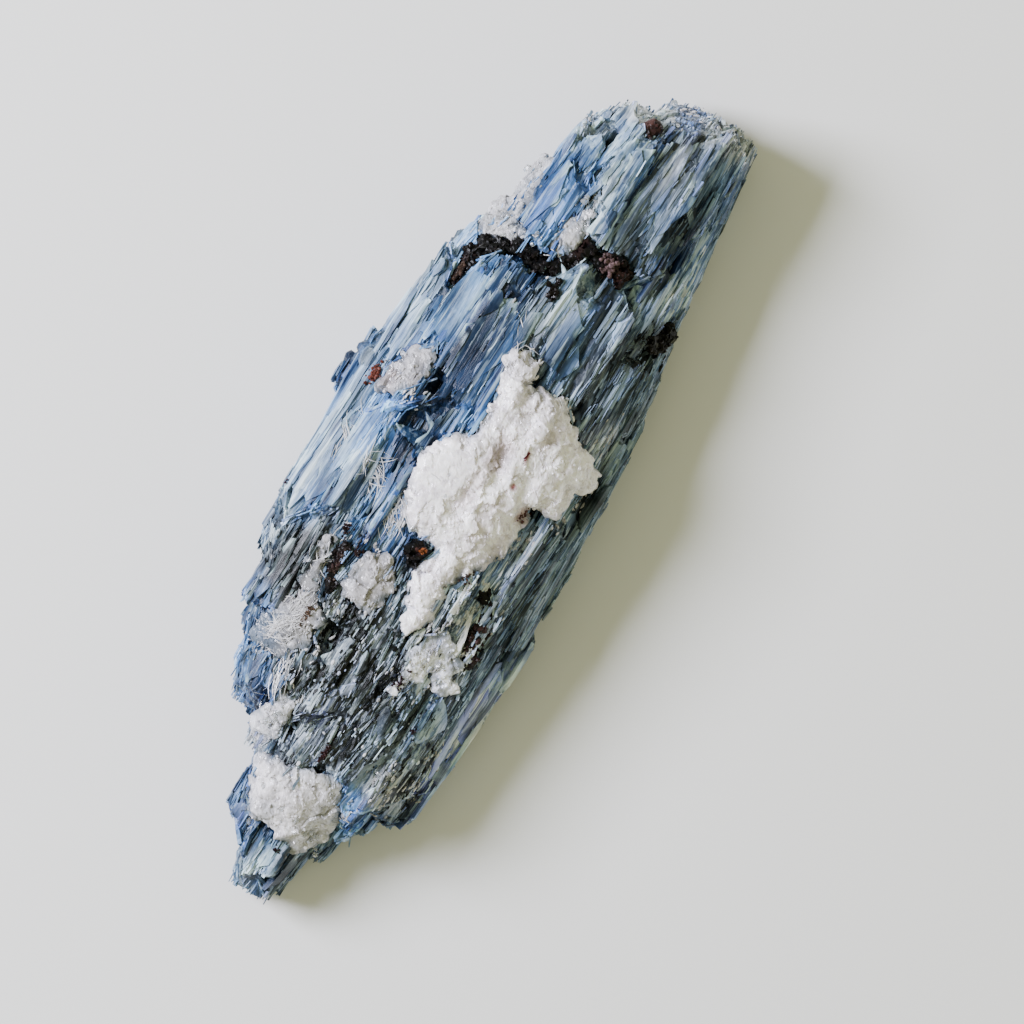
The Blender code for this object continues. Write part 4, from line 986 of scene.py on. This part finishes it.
def kyanite_finish():
    """Silky cleavage faces: dark and pale streaks along X, partly the blade's own colour and partly painted shade
    and painted highlight, thin dark cracks of painted shade, and frost and grit where they have frayed.
    """
    finish = Finish("kyanite_look")
    streaks = finish.noise(1500, 5.0, 0.72, (12, 1, 1))
    fibres = finish.noise(3600, 3.0, 0.6, (18, 1, 1))
    grains = finish.noise(1700, 5.0, 0.72, (2.4, 1, 1))
    bands = finish.noise(620, 5.0, 0.66, (13, 1, 1), 0.4)
    hairlines = finish.noise(1700, 2.0, 0.5, (38, 1, 1), 0.15)
    cracks = finish.noise(1300, 3.0, 0.55, (26, 1, 1), 0.2)
    sheaves = finish.noise(260, 3.0, 0.6, (4, 1, 1))
    frost = finish.noise(330, 5.0, 0.7, (2.6, 1, 1), 0.6)
    grit = finish.kept("grit", "Fac")
    marked = finish.range(grit, 0.0, 0.1, 0.35, 1.0)
    lines = finish.mix("MIX", 0.35, streaks, fibres)
    detail = finish.mix("MIX", grit, lines, grains)
    tone = finish.kept("tone", "Color")
    light = finish.range(finish.kept("tone", "Fac"), 0.01, 0.14, 0.06, 1.0)
    # A shaded and a lit copy of the tone: the dark streaks and bands are partly the blade's own colour and partly
    # painted shade between the fibres, and the pale streaks are partly frost and partly painted highlight on the
    # fibres' ridges.
    depth = finish.mix("MIX", grit, (0.28, 0.38, 0.52, 1), (0.11, 0.15, 0.21, 1))
    deep = finish.mix("MULTIPLY", 1.0, tone, depth)
    bright = finish.mix("MULTIPLY", 1.0, tone, (1.5, 1.6, 1.65, 1))
    frosty = finish.times(finish.range(grit, 0, 1, 0.26, 0.64), light)
    pale = finish.mix("MIX", frosty, bright, (0.54, 0.58, 0.60, 1))
    banded = finish.mix("MIX", finish.times(finish.range(bands, 0.36, 0.47, 0.85, 0.0), marked), tone, deep)
    shadowed = finish.mix("MIX", finish.times(finish.range(detail, 0.37, 0.49, 0.95, 0.0), marked), banded, deep)
    lit = finish.mix("MIX", finish.times(finish.range(detail, 0.53, 0.62, 0.0, 0.9), marked), shadowed, pale)
    frosted = finish.mix("MIX", finish.range(frost, 0.60, 0.74, 0.0, 0.5), lit, pale)
    clusters = finish.times(finish.range(sheaves, 0.4, 0.6, 0.25, 1.0), light)
    threads = finish.times(finish.range(hairlines, 0.585, 0.62, 0.0, 1.0), clusters)
    lined = finish.mix("SCREEN", threads, frosted, (0.30, 0.37, 0.42, 1))
    # Thin dark cracks along X: painted shade in the cracks.
    broken = finish.times(finish.range(cracks, 0.37, 0.41, 0.9, 0.0), marked)
    crack_shaded = finish.mix("MULTIPLY", broken, lined, (0.18, 0.26, 0.37, 1))
    finish.shade(Base_Color=crack_shaded, Roughness=finish.range(fibres, 0.3, 0.7, 0.22, 0.5), Specular_IOR_Level=0.3)
    finish.bump(detail, 0.8, 0.25 * MM)
    return finish.material


def quartz_finish():
    """Granular milky quartz: light passes a little way into it, and its grain faces are glassy."""
    colour = bpy.context.scene.kyanite_minerals.quartz_colour
    finish = Finish("quartz_look")
    cloud = finish.noise(260, 4.0, 0.6)
    grit = finish.noise(2400, 4.0, 0.7)
    reach, number = finish.cells(1500)
    fine_reach, fine_number = finish.cells(3100)
    shade = finish.range(cloud, 0.3, 0.7, 0.90, 1.10)
    toned = finish.mix("MULTIPLY", 1.0, finish.kept("tone", "Color"), shade)
    grained = finish.mix("MULTIPLY", 1.0, toned, finish.range(number, 0.2, 0.8, 0.86, 1.10))
    sugared = finish.mix("MULTIPLY", 1.0, grained, finish.range(fine_number, 0.2, 0.8, 0.92, 1.06))
    coloured = finish.mix("MULTIPLY", 1.0, sugared, (*colour, 1))
    finish.shade(
        Base_Color=coloured, Roughness=finish.range(number, 0.2, 0.8, 0.10, 0.45), IOR=QUARTZ_IOR,
        Subsurface_Weight=0.6, Subsurface_Radius=(1.0, 0.95, 0.9), Subsurface_Scale=0.4 * MM,
    )
    height = finish.mix("MIX", 0.4, reach, finish.mix("MIX", 0.5, fine_reach, grit))
    finish.bump(finish.range(height, 0, 1, 1, 0), 0.3, 0.3 * MM)
    return finish.material


def clear_finish():
    """Clear grains of quartz."""
    finish = Finish("clear_look")
    finish.shade(Base_Color=(0.92, 0.95, 0.97, 1), Roughness=0.12, Transmission_Weight=0.8, IOR=QUARTZ_IOR)
    return finish.material


def garnet_finish():
    """Dark red-brown grains, almost black, with a glassy sparkle."""
    finish = Finish("garnet_look")
    grit = finish.noise(1800, 4.0, 0.7)
    mottled = finish.mix("MULTIPLY", 1.0, finish.kept("tone", "Color"), finish.range(grit, 0.3, 0.7, 0.5, 1.5))
    finish.shade(Base_Color=mottled, Roughness=finish.range(grit, 0.3, 0.7, 0.18, 0.42), Specular_IOR_Level=0.14)
    finish.bump(grit, 0.4, 0.12 * MM)
    return finish.material


LOOKS = {
    "kyanite_look": kyanite_finish, "quartz_look": quartz_finish, "clear_look": clear_finish,
    "garnet_look": garnet_finish,
}


def finished(obj, look, slot, *nodes):
    """Gives a piece its material and body, and hides the nodes it stands for. The slot is not used."""
    obj.data.materials.clear()
    obj.data.materials.append(bpy.data.materials.get(look) or LOOKS[look]())
    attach(obj, "root")
    if nodes:
        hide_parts(*nodes)


# ---- operators --------------------------------------------------------------


class KYANITE_OT_ground(bpy.types.Operator):
    """Make the sheaf's own surface: laths of uneven height cut into it along X"""

    bl_idname = "kyanite.ground"
    bl_label = "Sheaf surface"

    def execute(self, context):
        settings = context.scene.kyanite
        obj = node_copy(SHEAF, "kyanite_ground", settings.ground_voxel)
        points, _, normals = mesh_arrays(obj.data)
        numbers, way, lead = cells_at(points / LATH, 3)
        fine, _, _ = cells_at(points / FIBRE, 9)
        gap = np.exp(-(lead / 0.30) ** 2)
        relief = (numbers[:, 3] - 0.65) * 0.4 + (fine[:, 3] - 0.5) * 0.1 - 0.35 * gap
        relief += way[:, 1] * (numbers[:, 0] - 0.5) * 0.4
        relief *= np.where(normals[:, 2] < -0.8, 0.35, 1.0)
        relief -= 2.2 * spots(points, HOLES)
        middle, reach, height = KNOB
        knob = np.clip((points[:, 2] / MM - 12) / 4, 0, 1) * np.clip((points[:, 1] / MM - 20.2) / 0.8, 0, 1)
        relief += height * np.exp(-((points[:, 0] / MM - middle) / reach) ** 4) * knob
        own = np.stack([numbers[:, 0], 0.3 + 0.4 * fine[:, 1]], axis=1)
        open_face = np.maximum(spots(points, CLEAN), 0.5 * spots(points, BROAD))
        # The sheaf's own surface is painted darker: a little overall, by 25% in the grooves between its cut
        # laths, and by 45% away from the clean broad faces, where it shows only between the laid laths. This is
        # painted shade between the laths.
        tones = tones_at(points, normals, own, bias=-0.06) * (1 - 0.25 * gap)[:, None]
        tones *= (1 - 0.45 * (1 - open_face))[:, None]
        obj.data.vertices.foreach_set("co", grounded(points + normals * (relief * MM)[:, None]).ravel())
        with_tone(obj.data, tones, grit_at(points))
        finished(obj, "kyanite_look", "kyanite", SHEAF)
        return {"FINISHED"}


class KYANITE_OT_laths(bpy.types.Operator):
    """Lay ribs, bundles of fibres, splinters and crumbs on the sheaf"""

    bl_idname = "kyanite.laths"
    bl_label = "Laths"

    def execute(self, context):
        settings = context.scene.kyanite
        ground = Ground()
        ribs = [pattern(strands, BENDS) for strands in RIBS]
        bundles = [pattern(strands) for strands in BUNDLES]
        splinters = [pattern(strands) for strands in SPLINTERS]

        def open_ground(broad):
            def chance(points):
                taken = np.maximum(spots(points, CLEAN), spots(points, HOLES))
                return (1 - taken) * (1 - broad * spots(points, BROAD))
            return chance

        def rim(points):
            trees = ground.cover.tree, ground.surface.tree
            over, under = (np.array([tree.find_nearest(Vector(point))[3] for point in points]) for tree in trees)
            return (over < 0.9 * MM) * (under < 1.0 * MM) * np.clip(points[:, 2] / MM - 8, 0, 1)

        def lapped(points):
            return 0.5 * spots(points, LAPPED)

        everywhere = Ground(*QUARTZ_NODES, *THIN_CRUSTS)
        rib = settings.rib_length, settings.rib_width, 1.0 * MM
        bundle = settings.bundle_length, settings.bundle_width, 0.5 * MM
        splinter = settings.splinter_length, settings.splinter_width, 0.2 * MM
        apart = 0.3 * MM
        # Each layer's shapes, ground, chance, gap, count, size and stand, and its bias, spread, fray and seed.
        for name, shapes, layer, chance, gap, count, size, height, bias, spread, fray, seed in (
            ("kyanite_ribs", ribs, ground, open_ground(0.92), apart,
             settings.rib_count, rib, (-0.45 * MM, 0.15 * MM), 0.02, 1.0, 0.25, 21),
            ("kyanite_bundles", bundles, ground, open_ground(0.8), apart,
             settings.bundle_count, bundle, (-0.25 * MM, 0.2 * MM), 0.02, 1.1, 0.35, 22),
            ("kyanite_splinters", splinters, ground, open_ground(0.55), apart,
             settings.splinter_count, splinter, (0.0, 0.4 * MM), 0.22, 0.9, 0.2, 23),
            ("kyanite_fringe", bundles, everywhere, rim, None,
             settings.fringe_count, (3.2 * MM, 0.45 * MM, 0.3 * MM), (0.0, 0.6 * MM), 0.15, 1.2, 0.5, 28),
            ("kyanite_lapped", bundles, everywhere, lapped, None,
             settings.fringe_count * 4, (5.0 * MM, 0.7 * MM, 0.4 * MM), (0.1 * MM, 0.6 * MM), 0.0, 1.1, 0.3, 30),
        ):
            rng = np.random.default_rng(seed)
            places, points, normals = layer.lay(count, size, height, rng, chance, gap)
            vertices, faces, owners, strands, along = copies(shapes, places, rng)
            vertices += uneven(vertices, 1.4 * MM, 0.45 * MM, seed)
            own = rng.random((len(places), 2))
            shades = rng.random((len(places), 5)) - 0.5
            varied = own[owners]
            varied[:, 1] = np.clip(varied[:, 1] + 0.5 * shades[owners, strands], 0, 1)
            ends = np.where(shades[owners, 4] > 0, along, -along) * 2
            tones = tones_at(vertices, normals[owners], varied, bias, spread)
            pale = np.clip(ends, 0, 1)[:, None] * fray * np.abs(shades[owners, 3:4]) * 2
            tones = towards(tones, tone_of(END_WHITE), pale)
            obj = joined(name, grounded(vertices), faces, tones, grit_at(points)[owners])
            finished(obj, "kyanite_look", "kyanite")
        self.crumbs(ground, settings)
        return {"FINISHED"}

    @staticmethod
    def crumbs(ground, settings):
        """Small pale and dark crumbs between the laths."""
        rng = np.random.default_rng(CRUMB_SEED)
        size = settings.crumb_size
        places, points, normals = ground.lay(
            settings.crumb_count, (size * 3, size, size * 0.9), (-0.1 * MM, 0.3 * MM), rng,
            lambda points: spots(points, CRUMBS), 0.1 * MM)
        vertices, faces, owners, _, _ = copies(crystals(4, 1, 60), places, rng)
        own = rng.random((len(places), 2))
        own[:, 1] = np.clip(own[:, 1] * 2 - 0.5, 0, 1)
        tones = tones_at(points, normals, own, 0.0, 2.0)
        white = (rng.random(len(places)) < WHITE_CRUMBS)[:, None]
        tones = np.where(white, tone_of(CRUMB_WHITE) * (0.5 + 0.5 * own[:, :1]), tones)
        grit = np.full(len(vertices), CRUMB_GRIT)
        obj = joined("kyanite_crumbs", grounded(vertices), faces, tones[owners], grit)
        finished(obj, "kyanite_look", "kyanite")


class KYANITE_OT_flakes(bpy.types.Operator):
    """Lay broad cleavage flakes with frayed edges on the sheaf"""

    bl_idname = "kyanite.flakes"
    bl_label = "Flakes"

    def execute(self, context):
        settings = context.scene.kyanite
        ground = Ground()
        rng = np.random.default_rng(FLAKE_SEED)
        shapes = [flake(corners) for corners in FLAKES]
        size = (settings.flake_length, settings.flake_width, FLAKE_THICKNESS)
        places, points, normals = ground.lay(
            settings.flake_count, size, (-0.15 * MM, 0.55 * MM), rng,
            lambda points: (0.06 + spots(points, BROAD)) * (1 - 0.9 * spots(points, HOLES)), 0.45 * MM)
        vertices, faces, owners, _, _ = copies(shapes, places, rng)
        local = np.einsum("nij,nj->ni", np.linalg.inv(places[owners, :3, :3]), vertices - places[owners, :3, 3])
        rim = np.maximum(np.abs(local[:, 1]) * 2, np.abs(local[:, 0]) * 2) ** 6
        shift = uneven(vertices, 0.8 * MM, 0.7 * MM, 26) + uneven(vertices, 3.0 * MM, 1.1 * MM, 29)
        vertices = vertices + shift * (0.15 + 0.85 * rim)[:, None] * np.array([1.6, 0.6, 0.3])
        vertices = draped(vertices, places[owners], local[:, 2], normals[owners], points[owners], ground)
        vertices -= normals[owners] * ((local[:, 2] > -0.5) * rim * 0.35 * FLAKE_THICKNESS)[:, None]
        own = rng.random((len(places), 2))
        tilt = rng.normal(0, 0.30, (len(places), 2))[owners]
        bias = tilt[:, 0] * local[:, 1] + tilt[:, 1] * local[:, 0]
        tones = tones_at(vertices, normals[owners], own[owners], bias, 0.85)
        frayed = np.clip(smooth(vertices / (1.3 * MM), 27) * 1.6 - 0.5, 0, 1) * np.clip(rim * 1.4, 0, 1)
        side = np.where(own[owners, 0] > 0.5, local[:, 1], local[:, 0]) > 0
        tones = towards(tones, tone_of(EDGE_WHITE), (0.85 * frayed * side)[:, None])
        obj = joined("kyanite_flakes", grounded(vertices), faces, tones, grit_at(points, 0.6)[owners])
        finished(obj, "kyanite_look", "kyanite")
        return {"FINISHED"}


class KYANITE_OT_quartz(bpy.types.Operator):
    """Make the masses of quartz: each node's own form broken into tilted grain faces, with grains set on it"""

    bl_idname = "kyanite.quartz"
    bl_label = "Quartz masses"

    def execute(self, context):
        size = context.scene.kyanite_minerals.grain_size
        shapes = crystals(5, 4, 0)
        sheaf = Surface(meshes_of(SHEAF))
        for index, node in enumerate(QUARTZ_NODES):
            rng = np.random.default_rng(QUARTZ_SEED + index)
            obj = node_copy(node, f"{node}_mass", QUARTZ_VOXEL)
            points, _, normals = mesh_arrays(obj.data)
            relief, shade = 0.3 * size, 1.0
            # Grain faces of three sizes: size over a grain's, slope, step and seed.
            for cell, slope, step, seed in ((7.0, 0.38, 0.13, 5), (2.6, 0.28, 0.09, 6), (1.2, 0.22, 0.05, 7)):
                numbers, way, lead = cells_at(points / (size * cell), seed)
                tilt = ((numbers[:, :3] - 0.5) * way).sum(axis=1)
                relief = relief + (tilt * slope * cell + (numbers[:, 3] - 0.5) * step * cell) * size
                shade = shade * (0.87 + 0.22 * numbers[:, 1]) * (1 - 0.06 * np.exp(-(lead / 0.12) ** 2))
            moved = points + normals * relief[:, None]
            ragged = 1.6 * smooth(points / (2.4 * MM), 78) + 0.9 * smooth(points / (0.8 * MM), 79) - 1.05
            moved[:, :2] += normals[:, :2] * (ragged * MM)[:, None]
            obj.data.vertices.foreach_set("co", lowered(moved, swell(points)).ravel())
            tones = quartz_tones(points) * shade[:, None] * WHITENESS[node]
            near = np.array([sheaf.tree.find_nearest(Vector(point))[3] for point in moved])
            thin = np.exp(-(near / (1.5 * MM)) ** 2) * np.clip(smooth(points / (1.3 * MM), 77) * 2.4 - 0.5, 0, 1)
            with_tone(obj.data, towards(tones, tone_of(THIN_QUARTZ), (0.85 * thin)[:, None]))
            finished(obj, "quartz_look", "quartz", node)
            self.grains(node, obj.data, shapes, size, rng)
        return {"FINISHED"}

    @staticmethod
    def grains(node, mesh, shapes, size, rng):
        """Sets grains half into the outer side of a mass."""
        surface = Surface([mesh])
        upward = np.clip(surface.normals[:, 2] + 0.15, 0, 1)
        count = int((surface.areas * (upward > 0)).sum() / (size ** 2) * 0.05)
        points, normals = surface.draw(count, rng, upward)
        sizes = size * np.exp(rng.normal(-0.25, 0.5, count))
        places = grains_at(points, normals, sizes, (-0.2, 0.2), rng)
        vertices, faces, owners, _, _ = copies(shapes, places, rng)
        vertices = lowered(vertices + uneven(vertices, 0.5 * MM, 0.2 * MM, 3), 0)
        tones = quartz_tones(points) * (0.8 + 0.28 * rng.random((count, 1))) * WHITENESS[node]
        finished(joined(f"{node}_grains", grounded(vertices), faces, tones[owners]), "quartz_look", "quartz")


class KYANITE_OT_loose(bpy.types.Operator):
    """Strew loose white grains, clear grains, dark flakes and specks over the cluster"""

    bl_idname = "kyanite.loose"
    bl_label = "Loose grains and flakes"

    def execute(self, context):
        settings = context.scene.kyanite_minerals
        surface = Surface(meshes_of(SHEAF, *QUARTZ_NODES, *THIN_CRUSTS))
        upward = np.clip(surface.normals[:, 2] + 0.3, 0, 1)

        def white(points, draw):
            return quartz_tones(points) * (0.35 + 0.5 * draw())

        def clear(points, draw):
            return np.ones((len(points), 3))

        def dark(points, draw):
            return np.array([0.004, 0.005, 0.006]) + draw() ** 3 * np.array([0.05, 0.055, 0.065])

        for name, look, slot, shapes, table, count, size, seed, places_at, depth, tones_of in (
            ("quartz_loose", "quartz_look", "quartz", crystals(4, 2, 40), SUGAR,
             settings.sugar_count, 0.26 * MM, 51, slivers_at, (-0.2, 0.7), white),
            ("quartz_clear", "clear_look", "quartz", crystals(4, 6, 120), CLEAR,
             settings.clear_count, 0.75 * MM, 54, grains_at, (-0.1, 0.5), clear),
            ("garnet_flakes", "garnet_look", "garnet", crystals(3, 2, 80), MICA,
             settings.mica_count, 0.34 * MM, 52, slivers_at, (-0.2, 0.7), dark),
        ):
            rng = np.random.default_rng(seed)
            points, normals = surface.draw(count * 20, rng, upward)
            clumps = np.clip(smooth(points / CLUMP, seed) * 8 - 4.2, 0, 1)
            kept = np.flatnonzero(rng.random(len(points)) < spots(points, table) * clumps)[:count]
            points, normals = points[kept], normals[kept]
            sizes = size * np.exp(np.minimum(rng.normal(0, 0.45, len(kept)), 0.5))
            places = places_at(points, normals, sizes, depth, rng)
            vertices, faces, owners, _, _ = copies(shapes, places, rng)
            vertices = lowered(vertices + uneven(vertices, 0.4 * MM, 0.15 * MM, seed), 0)
            tones = tones_of(points, lambda: rng.random((len(places), 1)))
            finished(joined(name, grounded(vertices), faces, tones[owners]), look, slot)
        self.specks()
        return {"FINISHED"}

    @staticmethod
    def specks():
        """Small clusters of dark and red-brown grains."""
        rng = np.random.default_rng(SPECK_SEED)
        surface = Surface(meshes_of(SHEAF, *QUARTZ_NODES, *GARNET_NODES))
        points, normals, tones, sizes = [], [], [], []
        for cx, cy, rx, ry, count, size, code in SPECKS:
            for across, up in rng.normal(0, 0.5, (count, 2)):
                hit, normal = found_below(surface, cx + across * rx, cy + up * ry)
                if hit is None:
                    continue
                points.append(hit)
                normals.append(normal)
                tones.append(tone_of(code) * rng.uniform(0.3, 1.1))
                sizes.append(size * MM * rng.uniform(0.6, 1.3))
        points, normals, tones = np.array(points), np.array(normals), np.array(tones)
        points[:, 2] += 0.3 * MM
        places = grains_at(points, normals, np.array(sizes), (-0.2, 0.5), rng)
        vertices, faces, owners, _, _ = copies(crystals(3, 2, 90), places, rng)
        finished(joined("garnet_specks", vertices, faces, tones[owners]), "garnet_look", "garnet")


class KYANITE_OT_fibres(bpy.types.Operator):
    """Lay the fine white hairs that curl over the waist"""

    bl_idname = "kyanite.fibres"
    bl_label = "White hairs"

    def execute(self, context):
        rng = np.random.default_rng(HAIR_SEED)
        surface = Surface(meshes_of(SHEAF, *QUARTZ_NODES))
        places = []
        for cx, cy, rx, ry, count, heading in HAIRS:
            for _ in range(count):
                hit, normal = found_below(surface, rng.normal(0, 0.5) * rx + cx, rng.normal(0, 0.5) * ry + cy)
                if hit is None or normal.z < 0.2:
                    continue
                turn = heading + rng.normal(0, 0.5)
                axis = Vector((math.cos(turn), math.sin(turn), 0))
                axis = (axis - normal * axis.dot(normal)).normalized()
                length = rng.uniform(3.5, 7.5) * MM
                size = (length, length * rng.choice((-1, 1)), length)
                places.append(placed(axis, normal, size, 0, hit + normal * rng.uniform(0.1, 0.35) * MM))
        vertices, faces, owners, _, _ = copies([hair()], np.array(places), rng)
        flipped = np.array([np.linalg.det(place[:3, :3]) < 0 for place in places])[owners[faces[:, 0]]]
        faces[flipped] = faces[flipped][:, ::-1]
        tones = np.full((len(vertices), 3), 0.9) * (0.6 + 0.6 * rng.random((len(places), 1)))[owners]
        finished(joined("quartz_hairs", vertices, faces, np.clip(tones, 0, 1)), "quartz_look", "quartz")
        return {"FINISHED"}


class KYANITE_OT_garnet(bpy.types.Operator):
    """Make the dark garnet crusts"""

    bl_idname = "kyanite.garnet"
    bl_label = "Garnet crusts"

    def execute(self, context):
        size = context.scene.kyanite_minerals.crust_size
        shapes = crystals(4, 4, 20)
        for index, node in enumerate(GARNET_NODES):
            rng = np.random.default_rng(GARNET_SEED + index)
            surface = Surface([self.mass(node).data])
            upward = np.clip(surface.normals[:, 2] + 0.2, 0, 1)
            share = 0.15 if node in SMALL_CRUSTS else 0.35
            count = int((surface.areas * (upward > 0)).sum() / (size ** 2) * share)
            points, normals = surface.draw(count, rng, upward)
            places = grains_at(points, normals, size * np.exp(rng.normal(0, 0.5, count)), (-0.3, 0.3), rng)
            vertices, faces, owners, _, _ = copies(shapes, places, rng)
            vertices += uneven(vertices, 0.5 * MM, 0.25 * MM, index)
            red = np.clip(spots(points, RUSTY) + 0.08, 0, 1) * rng.random(count)
            tones = NEAR_BLACK + red[:, None] * np.array([0.060, 0.024, 0.020])
            finished(joined(f"{node}_crust", grounded(vertices), faces, tones[owners]), "garnet_look", "garnet")
        return {"FINISHED"}

    @staticmethod
    def mass(node):
        """The node's own form, rough and dark."""
        obj = node_copy(node, f"{node}_mass", GARNET_VOXEL)
        points, _, normals = mesh_arrays(obj.data)
        numbers, way, _ = cells_at(points / (1.5 * MM), 15)
        relief = 0.1 + (numbers[:, 3] - 0.5) * 0.6 + ((numbers[:, :3] - 0.5) * way).sum(axis=1) * 1.4
        if node == "garnet_seam":
            relief += (smooth(points / (2.2 * MM), 16) * 2.6 - 1.75) * (np.abs(normals[:, 2]) < 0.75)
        obj.data.vertices.foreach_set("co", (points + normals * (relief * MM)[:, None]).ravel())
        red = np.clip(spots(points, RUSTY), 0, 1) * numbers[:, 1]
        with_tone(obj.data, NEAR_BLACK + red[:, None] * np.array([0.045, 0.016, 0.013]))
        finished(obj, "garnet_look", "garnet", node)
        return obj


class KYANITE_OT_stage(bpy.types.Operator):
    """Set up the floor, the soft light and the camera that looks straight down"""

    bl_idname = "kyanite.stage"
    bl_label = "Stage"

    def execute(self, context):
        settings = context.scene.kyanite_stage
        scene = context.scene
        deselect()
        bpy.ops.mesh.primitive_plane_add(size=3.0, location=(0, 0, -0.02 * MM))
        floor = context.object
        floor.name = "floor"
        matt = Finish("floor")
        matt.shade(Base_Color=(*settings.floor_colour, 1), Roughness=0.7, Specular_IOR_Level=0.3)
        floor.data.materials.append(matt.material)
        world = bpy.data.worlds.new("soft room")
        world.use_nodes = True
        room = world.node_tree.nodes["Background"]
        room.inputs["Color"].default_value = ROOM_COLOUR
        room.inputs["Strength"].default_value = ROOM_STRENGTH
        scene.world = world
        light = bpy.data.lights.new("window", "AREA")
        light.shape, light.size, light.size_y, light.energy = "RECTANGLE", *WINDOW_SIZE, WINDOW_POWER
        light.color = WINDOW_COLOUR
        lamp = bpy.data.objects.new("window", light)
        scene.collection.objects.link(lamp)
        lamp.location = WINDOW_PLACE
        lamp.rotation_euler = (Vector((0, 0, 0.01)) - lamp.location).to_track_quat("-Z", "Y").to_euler()
        self.camera(scene, settings)
        return {"FINISHED"}

    @staticmethod
    def camera(scene, settings):
        """Adds the camera, which looks straight down, rolled so that the blades rise to the right."""
        camera = bpy.data.cameras.new("camera")
        camera.sensor_width = SENSOR
        camera.lens = SENSOR * (settings.camera_height - VIEW_LEVEL) / settings.view_width
        holder = bpy.data.objects.new("camera", camera)
        scene.collection.objects.link(holder)
        up = Vector(VIEW_UP).normalized()
        right = Vector((up.y, -up.x, 0))
        place = Vector((*VIEW_MIDDLE, settings.camera_height))
        holder.matrix_world = Matrix.Translation(place) @ Matrix((right, up, UP)).transposed().to_4x4()
        scene.camera = holder


class KYANITE_PT_panel(bpy.types.Panel):
    """The operators and settings in the sidebar"""

    bl_label = "Kyanite blade cluster"
    bl_idname = "KYANITE_PT_panel"
    bl_space_type = "VIEW_3D"
    bl_region_type = "UI"
    bl_category = "Kyanite"

    def draw(self, context):
        for operator in OPERATORS:
            self.layout.operator(operator.bl_idname)
        for settings in (context.scene.kyanite, context.scene.kyanite_minerals, context.scene.kyanite_stage):
            for name in settings.__annotations__:
                self.layout.prop(settings, name)


GROUPS = {
    "kyanite": KyaniteSettings,
    "kyanite_minerals": MineralSettings,
    "kyanite_stage": StageSettings,
}
OPERATORS = (
    KYANITE_OT_ground, KYANITE_OT_flakes, KYANITE_OT_laths, KYANITE_OT_quartz, KYANITE_OT_loose,
    KYANITE_OT_fibres, KYANITE_OT_garnet, KYANITE_OT_stage,
)


def register():
    for group in (*GROUPS.values(), *OPERATORS, KYANITE_PT_panel):
        bpy.utils.register_class(group)
    for name, group in GROUPS.items():
        setattr(bpy.types.Scene, name, bpy.props.PointerProperty(type=group))


def unregister():
    for name in GROUPS:
        delattr(bpy.types.Scene, name)
    for group in (KYANITE_PT_panel, *reversed(OPERATORS), *GROUPS.values()):
        bpy.utils.unregister_class(group)


def main():
    register()
    bpy.ops.kyanite.ground()
    bpy.ops.kyanite.flakes()
    bpy.ops.kyanite.laths()
    bpy.ops.kyanite.quartz()
    bpy.ops.kyanite.loose()
    bpy.ops.kyanite.fibres()
    bpy.ops.kyanite.garnet()
    bpy.ops.kyanite.stage()


if __name__ == "__main__":
    main()
